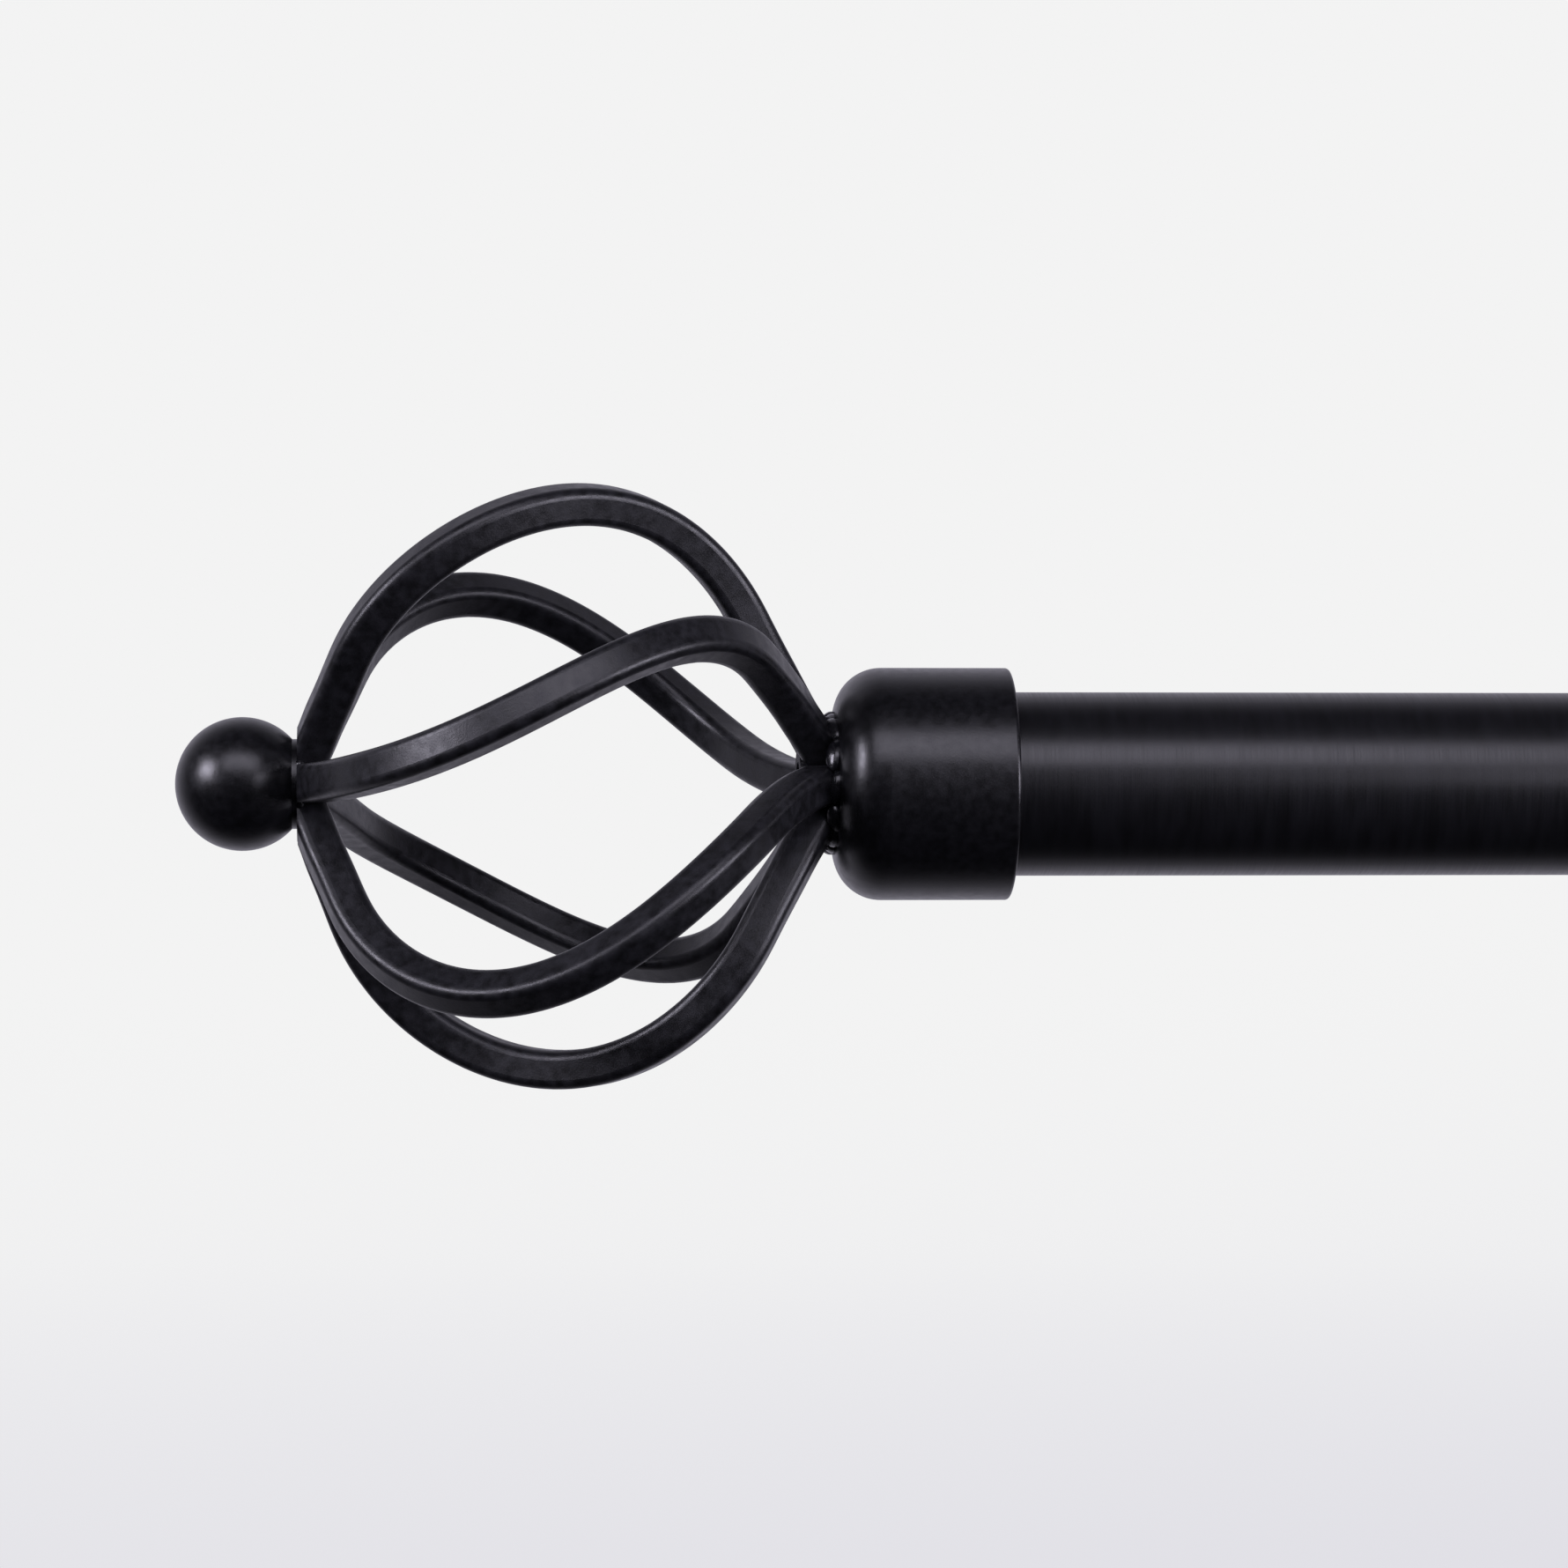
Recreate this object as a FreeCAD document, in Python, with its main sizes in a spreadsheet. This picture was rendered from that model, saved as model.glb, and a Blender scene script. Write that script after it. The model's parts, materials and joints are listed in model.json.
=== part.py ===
"""Adjustable curtain rod on two wall brackets, with a twisted birdcage finial at each end.

Millimetres. X runs along the rod, Z is up and Y points into the wall. The origin is the centre
of the left wall plate's back face, and the rod's axis lies one projection in front of it.
"""

import FreeCAD
import Part

import math
import os

import Sketcher

V = FreeCAD.Vector

# Each entry is the alias of a sheet cell, its value and what it measures.
DIMENSIONS = (
    # Telescoping rod
    ("tube_diameter", 25.4, "outside of the outer tube"),
    ("tube_wall", 1.0, "sheet thickness of the outer tube"),
    ("outer_tube_length", 660.0, "outer tube, end to end"),
    ("inner_tube_wall", 0.9, "sheet thickness of the inner tube"),
    ("inner_tube_reveal", 51.2, "inner tube left in sight with the rod at its shortest"),
    ("inner_tail_gap", 42.0, "from the outer tube's left end to the inner tube's tail"),
    ("mouth_ring_wall", 0.55, "mouth ring between the two tubes"),
    ("mouth_ring_depth", 12.0, "mouth ring inside the outer tube"),
    ("mouth_ring_lip", 1.5, "mouth ring's lip past the tube's end"),
    ("glide_flange", 6.0, "length of the glide plug that rides in the outer tube"),
    ("glide_stub", 15.0, "glide plug pushed into the inner tube"),
    ("running_gap", 0.05, "radial clearance of every sliding fit"),
    # Wall plates, arm sockets and arms
    ("mouth_to_bracket", 81.5, "from the outer tube's mouth back to the right bracket's centre"),
    ("rim_to_bracket", 120.0, "from the left cup's rim to the left bracket's centre"),
    ("projection", 88.9, "from the wall to the rod's axis"),
    ("projection_travel", 12.7, "arm travel each way from rest"),
    ("plate_width", 30.0, "wall plate across"),
    ("plate_height", 80.0, "wall plate from top to bottom"),
    ("plate_thickness", 3.0, "wall plate"),
    ("plate_end_flat", 0.02, "flat left in the middle of each rounded end"),
    ("plate_edge_round", 0.8, "front edge of the wall plate"),
    ("wall_hole_spacing", 58.0, "between the two wall screw holes"),
    ("wall_hole_diameter", 4.5, "wall screw hole"),
    ("wall_hole_sink", 1.8, "depth of the screw hole's countersink"),
    ("socket_wall", 2.45, "arm socket round its bore"),
    ("stop_gap", 8.9, "between the socket and the cradle's seat with the arm pushed in"),
    ("arm_diameter", 12.0, "sliding arm"),
    ("arm_tail_gap", 15.0, "from the wall plate's front to the arm's tail at rest"),
    ("arm_flat_depth", 1.0, "flat on the arm for the lock screw"),
    ("lock_screw_inset", 10.0, "from the socket's mouth to the lock screw's axis"),
    ("boss_diameter", 11.0, "screw bosses on the sockets and cradles"),
    ("boss_height", 4.0, "screw bosses on the sockets and cradles"),
    # Cradles
    ("cradle_gap", 0.1, "between the cradle's hollow and the tube"),
    ("cradle_wall", 3.0, "thickness of the cradle's strip"),
    ("cradle_width", 14.0, "cradle along the rod"),
    ("cradle_back", 14.0, "back wall above the rod's axis"),
    ("cradle_front", 8.0, "front wall above the rod's axis"),
    ("seat_length", 2.5, "pad between the cradle and its arm"),
    ("edge_break", 0.6, "rounding of the sockets', bosses' and arms' outer edges"),
    # Screws
    ("thumb_thread", 5.0, "clamp and lock screw shanks"),
    ("thumb_head", 13.0, "clamp and lock screw heads"),
    ("thumb_head_length", 7.0, "clamp and lock screw heads"),
    ("thumb_bevel", 1.0, "bevel at both ends of those heads"),
    ("thumb_standoff", 3.0, "from a boss to the screw head"),
    ("thumb_flute", 1.6, "diameter of each grip flute"),
    ("cradle_screw_thread", 5.0, "screw that holds a cradle to its arm"),
    ("cradle_screw_head", 9.0, "countersunk head"),
    ("cradle_screw_reach", 14.0, "from the head's top to the tip"),
    ("cage_screw_thread", 6.0, "screw that holds a cage to its cup"),
    ("cage_screw_head", 10.0, "button head inside the cup"),
    ("cage_screw_head_height", 4.0, "button head inside the cup"),
    ("cage_screw_reach", 4.5, "thread inside the cage nut"),
    ("set_screw_thread", 4.0, "set screw in the back of each cup"),
    ("hex_share", 0.33, "key hole's corner radius, as a share of the thread's diameter"),
    # Cups
    ("cup_wall", 3.27, "collar over the rod's end"),
    ("cup_length", 24.1, "collar over the rod's end"),
    ("cup_floor", 5.5, "thickness between the rod's end and the cage"),
    ("cup_shoulder", 6.45, "radius that rounds the floor into the side"),
    ("cup_rim_round", 0.5, "rounding of the open rim"),
    ("tube_end_gap", 0.5, "between a tube's end and the cup's floor"),
    ("set_screw_inset", 10.0, "from the rim to the set screw's axis"),
    # Twisted cages
    ("cage_length", 73.6, "between the cup's floor and the ball's neck"),
    ("cage_radius", 39.2, "bar centre line at the belly"),
    ("belly_radius", 30.3, "arc of the belly, seen from the side"),
    ("belly_offset", 1.5, "belly centre towards the ball from mid length"),
    ("cup_leg_radius", 1.5, "bar centre line where it reaches the cup"),
    ("ball_leg_radius", 0.8, "bar centre line where it reaches the neck"),
    ("cage_twist", 60.0, "degrees that a bar turns round the rod's axis"),
    ("twist_lean", 11.0, "degrees more that the cup half turns than an even twist"),
    ("bar_width", 5.3, "square bar"),
    ("bar_corner", 1.3, "corner radius of the square bar"),
    ("cage_nut_diameter", 10.0, "threaded nut that the bars are welded round"),
    ("cage_nut_length", 5.0, "threaded nut that the bars are welded round"),
    # Balls
    ("ball_diameter", 18.3, "ball at the tip"),
    ("neck_diameter", 12.3, "collar between the ball and the cage"),
    ("neck_length", 7.5, "from the ball's centre to the cage"),
    ("stud_diameter", 4.0, "stud that joins the ball to the cage"),
    ("stud_in_ball", 9.0, "stud inside the ball's neck"),
    ("stud_in_cage", 7.0, "stud inside the welded bar ends"),
)

# Degrees round the rod's axis at mid length, from the front (-Y) up. The cage is bent by hand,
# so its six bars are not evenly spaced.
BAR_LEADS = (19.5, -39.5, -89.0, -147.0, 142.5, 74.5)

# Near each end the bars crowd together: radius and depth of that zone, in bar widths.
WELD_REACH = 1.7
WELD_DEPTH = 1.6

BAR_STATIONS = 27
GRIP_FLUTES = 14

# How near two lengths in millimetres count as equal, and two directions as parallel.
CLOSE = 0.01
PARALLEL = 0.99

doc = FreeCAD.newDocument("CurtainRod")
finished = []


def make_sheet():
    """Write every driving dimension into a spreadsheet cell with its alias."""
    sheet = doc.addObject("Spreadsheet::Sheet", "Dims")
    for row, (alias, value, meaning) in enumerate(DIMENSIONS, start=1):
        sheet.set(f"A{row}", alias)
        sheet.set(f"B{row}", str(value))
        sheet.set(f"C{row}", meaning)
        sheet.setAlias(f"B{row}", alias)
    doc.recompute()
    return sheet


dims = make_sheet()


def size(expression):
    """Work out an expression of sheet aliases, such as 'Dims.tube_diameter / 2'."""
    value = dims.evalExpression(expression)
    return float(getattr(value, "Value", value))


def bind(item, **expressions):
    """Bind properties to sheet expressions; a double underscore stands for a dot."""
    for name, expression in expressions.items():
        item.setExpression(name.replace("__", "."), expression)


def finish(item, label):
    """Name a sub-part, so that it is checked and exported."""
    item.Label = label
    finished.append(item)
    return item


# ---- Part primitives and booleans bound to the sheet ----

TURNS = {
    "+X": FreeCAD.Rotation(V(0, 1, 0), 90),
    "-X": FreeCAD.Rotation(V(0, 1, 0), -90),
    "+Y": FreeCAD.Rotation(V(1, 0, 0), -90),
    "-Y": FreeCAD.Rotation(V(1, 0, 0), 90),
    "+Z": FreeCAD.Rotation(),
    "turned": FreeCAD.Rotation(V(0, 1, 0), 180),
}


def place(item, at, turn="+Z"):
    """Put an item's own origin at three expressions, with its Z along a row axis."""
    item.Placement = FreeCAD.Placement(V(0, 0, 0), TURNS[turn])
    for letter, expression in zip("xyz", at):
        item.setExpression(f"Placement.Base.{letter}", expression)
    return item


def cylinder(radius, length, at=("0", "0", "0"), turn="+Z"):
    """Return a cylinder whose base centre is at the given place."""
    item = doc.addObject("Part::Cylinder", "Cylinder")
    bind(item, Radius=radius, Height=length)
    return place(item, at, turn)


def cone(base_radius, top_radius, length, at, turn):
    """Return a cone or frustum."""
    item = doc.addObject("Part::Cone", "Cone")
    bind(item, Radius1=base_radius, Radius2=top_radius, Height=length)
    return place(item, at, turn)


def box(lengths, corner):
    """Return a box from its three lengths and its lowest corner."""
    item = doc.addObject("Part::Box", "Box")
    bind(item, Length=lengths[0], Width=lengths[1], Height=lengths[2])
    return place(item, corner)


def hexagon(radius, length, at, turn):
    """Return a six-sided prism for a key hole."""
    item = doc.addObject("Part::Prism", "Prism")
    item.Polygon = 6
    bind(item, Circumradius=radius, Height=length)
    return place(item, at, turn)


def join(*items):
    """Return the union of several items."""
    union = doc.addObject("Part::MultiFuse", "Union")
    union.Shapes = list(items)
    return union


def cut(base, *tools):
    """Return the base with every tool taken out of it."""
    result = base
    for tool in tools:
        step = doc.addObject("Part::Cut", "Cut")
        step.Base = result
        step.Tool = tool
        result = step
    return result


def soften(item, wanted):
    """Round the edges of a finished solid that a test accepts."""
    doc.recompute()
    radius = size("Dims.edge_break")
    numbers = [number for number, edge in enumerate(item.Shape.Edges, start=1) if wanted(edge)]
    rounding = doc.addObject("Part::Fillet", "Softened")
    rounding.Base = item
    rounding.Edges = [(number, radius, radius) for number in numbers]
    return rounding


# ---- PartDesign bodies and sketches bound to the sheet ----

def new_body(name):
    """Return an empty body."""
    return doc.addObject("PartDesign::Body", name)


def origin_plane(body, role):
    """Return one of a body's own origin planes."""
    return next(item for item in body.Origin.OriginFeatures if item.Role == role)


def new_sketch(body, name, role):
    """Return a sketch on one of the body's origin planes."""
    sketch = body.newObject("Sketcher::SketchObject", name)
    sketch.AttachmentSupport = [(origin_plane(body, role), "")]
    sketch.MapMode = "FlatFace"
    return sketch


def outline(sketch, corners):
    """Draw a closed outline of straight lines with every corner bound to two expressions."""
    points = [V(size(across), size(up), 0) for across, up in corners]
    count = len(points)
    for index, point in enumerate(points):
        sketch.addGeometry(Part.LineSegment(point, points[(index + 1) % count]), False)
    for index in range(count):
        sketch.addConstraint(Sketcher.Constraint("Coincident", index, 2, (index + 1) % count, 1))
    for index, (across, up) in enumerate(corners):
        for kind, expression in (("DistanceX", across), ("DistanceY", up)):
            value = size(expression)
            number = sketch.addConstraint(Sketcher.Constraint(kind, -1, 1, index, 1, value))
            sketch.setExpression(f"Constraints[{number}]", expression)


def circle(sketch, radius, across="0", up="0"):
    """Draw a circle with its radius and centre bound to expressions."""
    centre = V(size(across), size(up), 0)
    index = sketch.addGeometry(Part.Circle(centre, V(0, 0, 1), size(radius)), False)
    number = sketch.addConstraint(Sketcher.Constraint("Radius", index, size(radius)))
    sketch.setExpression(f"Constraints[{number}]", radius)
    for kind, expression in (("DistanceX", across), ("DistanceY", up)):
        value = size(expression)
        number = sketch.addConstraint(Sketcher.Constraint(kind, -1, 1, index, 3, value))
        sketch.setExpression(f"Constraints[{number}]", expression)


def pad(body, sketch, length):
    """Pad a sketch by an expression."""
    feature = body.newObject("PartDesign::Pad", "Pad")
    feature.Profile = sketch
    bind(feature, Length=length)
    doc.recompute()
    return feature


def revolve(body, sketch, axis="H_Axis"):
    """Turn a sketch once round one of its own axes."""
    feature = body.newObject("PartDesign::Revolution", "Revolution")
    feature.Profile = sketch
    feature.ReferenceAxis = (sketch, [axis])
    feature.Angle = 360
    doc.recompute()
    return feature


def pocket(body, sketch, length, reverse):
    """Pocket a sketch, and check that it took material away."""
    before = body.Shape.Volume
    feature = body.newObject("PartDesign::Pocket", "Pocket")
    feature.Profile = sketch
    feature.Reversed = reverse
    bind(feature, Length=length)
    doc.recompute()
    if feature.Shape.Volume > before - CLOSE:
        raise RuntimeError(f"{body.Name}: a pocket cuts nothing")
    return feature


def edges_where(body, wanted):
    """Return the names of the edges that a test accepts."""
    return [f"Edge{number}" for number, edge in enumerate(body.Shape.Edges, start=1) if wanted(edge)]


def round_edges(body, wanted, radius):
    """Fillet the edges that a test accepts."""
    tip = body.Tip
    names = edges_where(body, wanted)
    feature = body.newObject("PartDesign::Fillet", "Fillet")
    feature.Base = (tip, names)
    bind(feature, Radius=radius)
    doc.recompute()
    return feature


def bevel_edges(body, wanted, depth):
    """Chamfer the edges that a test accepts."""
    tip = body.Tip
    names = edges_where(body, wanted)
    feature = body.newObject("PartDesign::Chamfer", "Chamfer")
    feature.Base = (tip, names)
    bind(feature, Size=depth)
    doc.recompute()
    return feature


def near(value, wanted):
    """Tell whether two lengths are equal."""
    return abs(value - wanted) < CLOSE


def is_circle(edge, radius):
    """Tell whether an edge is a circle of the given radius."""
    return isinstance(edge.Curve, Part.Circle) and near(edge.Curve.Radius, radius)


# ---- Stations along the rod, as expressions ----

ROD_Y = "-Dims.projection"
LEFT_FLOOR_X = "(-Dims.rim_to_bracket - Dims.cup_length)"
LEFT_TUBE_END = f"({LEFT_FLOOR_X} + Dims.cup_floor + Dims.tube_end_gap)"
MOUTH_X = f"({LEFT_TUBE_END} + Dims.outer_tube_length)"
RIGHT_TUBE_END = f"({MOUTH_X} + Dims.inner_tube_reveal)"
RIGHT_FLOOR_X = f"({RIGHT_TUBE_END} + Dims.tube_end_gap + Dims.cup_floor)"
RIGHT_BRACKET_X = f"({MOUTH_X} - Dims.mouth_to_bracket)"
INNER_TUBE_LENGTH = "(Dims.outer_tube_length - Dims.inner_tail_gap + Dims.inner_tube_reveal)"
INNER_TAIL_X = f"({RIGHT_TUBE_END} - {INNER_TUBE_LENGTH})"
TUBE_BORE = "(Dims.tube_diameter / 2 - Dims.tube_wall)"
INNER_RUNNING_BORE = f"({TUBE_BORE} - Dims.mouth_ring_wall)"
INNER_OUTSIDE = f"({INNER_RUNNING_BORE} - Dims.running_gap)"
INNER_BORE = f"({INNER_OUTSIDE} - Dims.inner_tube_wall)"
CUP_BORE = "(Dims.tube_diameter / 2 + Dims.running_gap)"
CUP_OUTSIDE = f"({CUP_BORE} + Dims.cup_wall)"


# ---- Telescoping rod ----

def tube(label, outside, inside, length, start):
    """Make a straight tube along X: a ring sketch, padded."""
    body = new_body("Tube")
    sketch = new_sketch(body, "Ring", "YZ_Plane")
    circle(sketch, outside)
    circle(sketch, inside)
    pad(body, sketch, length)
    place(body, (start, ROD_Y, "0"))
    return finish(body, label)


def make_rod():
    """Make both tubes, the ring at the outer tube's mouth and the plug on the inner tube's tail."""
    tube("outer_tube", "Dims.tube_diameter / 2", TUBE_BORE, "Dims.outer_tube_length", LEFT_TUBE_END)
    tube("inner_tube", INNER_OUTSIDE, INNER_BORE, INNER_TUBE_LENGTH, INNER_TAIL_X)

    ring = new_body("MouthRing")
    profile = new_sketch(ring, "Profile", "XY_Plane")
    outline(profile, (
        ("-Dims.mouth_ring_depth", INNER_RUNNING_BORE),
        ("Dims.mouth_ring_lip", INNER_RUNNING_BORE),
        ("Dims.mouth_ring_lip", "Dims.tube_diameter / 2"),
        ("0", "Dims.tube_diameter / 2"),
        ("0", TUBE_BORE),
        ("-Dims.mouth_ring_depth", TUBE_BORE),
    ))
    revolve(ring, profile)
    finish(place(ring, (MOUTH_X, ROD_Y, "0")), "mouth_ring")

    plug = new_body("GlidePlug")
    profile = new_sketch(plug, "Profile", "XY_Plane")
    outline(profile, (
        ("-Dims.glide_flange", "0"),
        ("Dims.glide_stub", "0"),
        ("Dims.glide_stub", INNER_BORE),
        ("0", INNER_BORE),
        ("0", f"{TUBE_BORE} - Dims.running_gap"),
        ("-Dims.glide_flange", f"{TUBE_BORE} - Dims.running_gap"),
    ))
    revolve(plug, profile)
    finish(place(plug, (INNER_TAIL_X, ROD_Y, "0")), "inner_tube_glide_plug")


# ---- Screws ----

def thumb_screw(label, shank, at, turn):
    """Make a screw with a fluted head; it points along its own -Z from the head's underside."""
    body = new_body("ThumbScrew")
    profile = new_sketch(body, "Profile", "XZ_Plane")
    outline(profile, (
        ("0", f"-{shank}"),
        ("Dims.thumb_thread / 2", f"-{shank}"),
        ("Dims.thumb_thread / 2", "0"),
        ("Dims.thumb_head / 2 - Dims.thumb_bevel", "0"),
        ("Dims.thumb_head / 2", "Dims.thumb_bevel"),
        ("Dims.thumb_head / 2", "Dims.thumb_head_length - Dims.thumb_bevel"),
        ("Dims.thumb_head / 2 - Dims.thumb_bevel", "Dims.thumb_head_length"),
        ("0", "Dims.thumb_head_length"),
    ))
    revolve(body, profile, "V_Axis")
    flute = new_sketch(body, "Flute", "XY_Plane")
    circle(flute, "Dims.thumb_flute / 2", "Dims.thumb_head / 2")
    groove = pocket(body, flute, "Dims.thumb_head_length", True)
    pattern = body.newObject("PartDesign::PolarPattern", "Grip")
    pattern.Originals = [groove]
    pattern.Axis = (flute, ["N_Axis"])
    pattern.Angle = 360
    pattern.Occurrences = GRIP_FLUTES
    body.Tip = pattern
    doc.recompute()
    return finish(place(body, at, turn), label)


# ---- Wall brackets ----

CRADLE_INSIDE = "(Dims.tube_diameter / 2 + Dims.cradle_gap)"
CRADLE_OUTSIDE = f"({CRADLE_INSIDE} + Dims.cradle_wall)"
ARM_FACE_Y = f"({ROD_Y} + {CRADLE_OUTSIDE} + Dims.seat_length)"
ARM_TAIL_Y = "(-Dims.plate_thickness - Dims.arm_tail_gap)"
ARM_BORE = "(Dims.arm_diameter / 2 + Dims.running_gap)"
SOCKET_OUTSIDE = f"({ARM_BORE} + Dims.socket_wall)"
SOCKET_MOUTH_Y = f"({ARM_FACE_Y} + Dims.projection_travel + Dims.stop_gap)"
SOCKET_LENGTH = f"(-Dims.plate_thickness - {SOCKET_MOUTH_Y})"
BOSS_TOP_Z = f"({SOCKET_OUTSIDE} + Dims.boss_height)"
LOCK_SCREW_Y = f"({SOCKET_MOUTH_Y} + Dims.lock_screw_inset)"
ARM_FLAT_Z = "(Dims.arm_diameter / 2 - Dims.arm_flat_depth)"
THUMB_HOLE = "(Dims.thumb_thread / 2 + Dims.running_gap)"
SCREW_FLOAT = "(2 * Dims.running_gap)"
CRADLE_SCREW_TOP_Y = f"({ROD_Y} + {CRADLE_INSIDE} + {SCREW_FLOAT})"
CRADLE_SCREW_IN_ARM = f"({CRADLE_SCREW_TOP_Y} + Dims.cradle_screw_reach - {ARM_FACE_Y})"
CRADLE_SCREW_HEAD_DEPTH = "((Dims.cradle_screw_head - Dims.cradle_screw_thread) / 2)"


def wall_plate(side, x):
    """Make the round-ended plate that is screwed to the wall."""
    body = new_body("WallPlate")
    shape = new_sketch(body, "Blank", "XZ_Plane")
    outline(shape, (
        ("-Dims.plate_width / 2", "-Dims.plate_height / 2"),
        ("Dims.plate_width / 2", "-Dims.plate_height / 2"),
        ("Dims.plate_width / 2", "Dims.plate_height / 2"),
        ("-Dims.plate_width / 2", "Dims.plate_height / 2"),
    ))
    pad(body, shape, "Dims.plate_thickness")
    round_edges(
        body,
        lambda edge: abs(edge.tangentAt(edge.FirstParameter).y) > PARALLEL,
        "(Dims.plate_width - Dims.plate_end_flat) / 2",
    )
    front = size("-Dims.plate_thickness")
    round_edges(
        body,
        lambda edge: near(edge.CenterOfMass.y, front) and near(edge.BoundBox.YLength, 0),
        "Dims.plate_edge_round",
    )
    holes = new_sketch(body, "Holes", "XZ_Plane")
    circle(holes, "Dims.wall_hole_diameter / 2", "0", "Dims.wall_hole_spacing / 2")
    circle(holes, "Dims.wall_hole_diameter / 2", "0", "-Dims.wall_hole_spacing / 2")
    pocket(body, holes, "Dims.plate_thickness", True)
    hole = size("Dims.wall_hole_diameter / 2")
    bevel_edges(
        body,
        lambda edge: is_circle(edge, hole) and near(edge.CenterOfMass.y, front),
        "Dims.wall_hole_sink",
    )
    return finish(place(body, (x, "0", "0")), f"{side}_wall_plate")


def arm_socket(side, x):
    """Make the socket that is welded to the plate, with a boss for the lock screw on top."""
    barrel = cylinder(SOCKET_OUTSIDE, SOCKET_LENGTH, (x, "-Dims.plate_thickness", "0"), "-Y")
    boss = cylinder("Dims.boss_diameter / 2", BOSS_TOP_Z, (x, LOCK_SCREW_Y, "0"), "+Z")
    bore = cylinder(ARM_BORE, SOCKET_LENGTH, (x, "-Dims.plate_thickness", "0"), "-Y")
    screw_hole = cylinder(THUMB_HOLE, BOSS_TOP_Z, (x, LOCK_SCREW_Y, "0"), "+Z")
    boss_radius = size("Dims.boss_diameter / 2")
    barrel_radius = size(SOCKET_OUTSIDE)
    mouth_y = size(SOCKET_MOUTH_Y)
    socket = soften(
        cut(join(barrel, boss), bore, screw_hole),
        lambda edge: is_circle(edge, boss_radius)
        or (is_circle(edge, barrel_radius) and near(edge.CenterOfMass.y, mouth_y)),
    )
    finish(socket, f"{side}_arm_socket")
    thumb_screw(
        f"{side}_arm_lock_screw",
        f"({BOSS_TOP_Z} + Dims.thumb_standoff - {ARM_FLAT_Z} - {SCREW_FLOAT})",
        (x, LOCK_SCREW_Y, f"{BOSS_TOP_Z} + Dims.thumb_standoff"),
        "+Z",
    )


def arm(side, x):
    """Make the round arm, with a flat for the lock screw and a tapped hole in its front end."""
    length = f"({ARM_TAIL_Y} - {ARM_FACE_Y})"
    bar = cylinder("Dims.arm_diameter / 2", length, (x, ARM_TAIL_Y, "0"), "-Y")
    flat = box(
        ("Dims.arm_diameter", "2 * Dims.projection_travel + 2 * Dims.thumb_thread", "Dims.arm_diameter"),
        (
            f"{x} - Dims.arm_diameter / 2",
            f"{LOCK_SCREW_Y} - Dims.projection_travel - Dims.thumb_thread",
            ARM_FLAT_Z,
        ),
    )
    tapped = cylinder(
        "Dims.cradle_screw_thread / 2", CRADLE_SCREW_IN_ARM, (x, ARM_FACE_Y, "0"), "+Y",
    )
    return finish(cut(bar, flat, tapped), f"{side}_arm")


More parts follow.
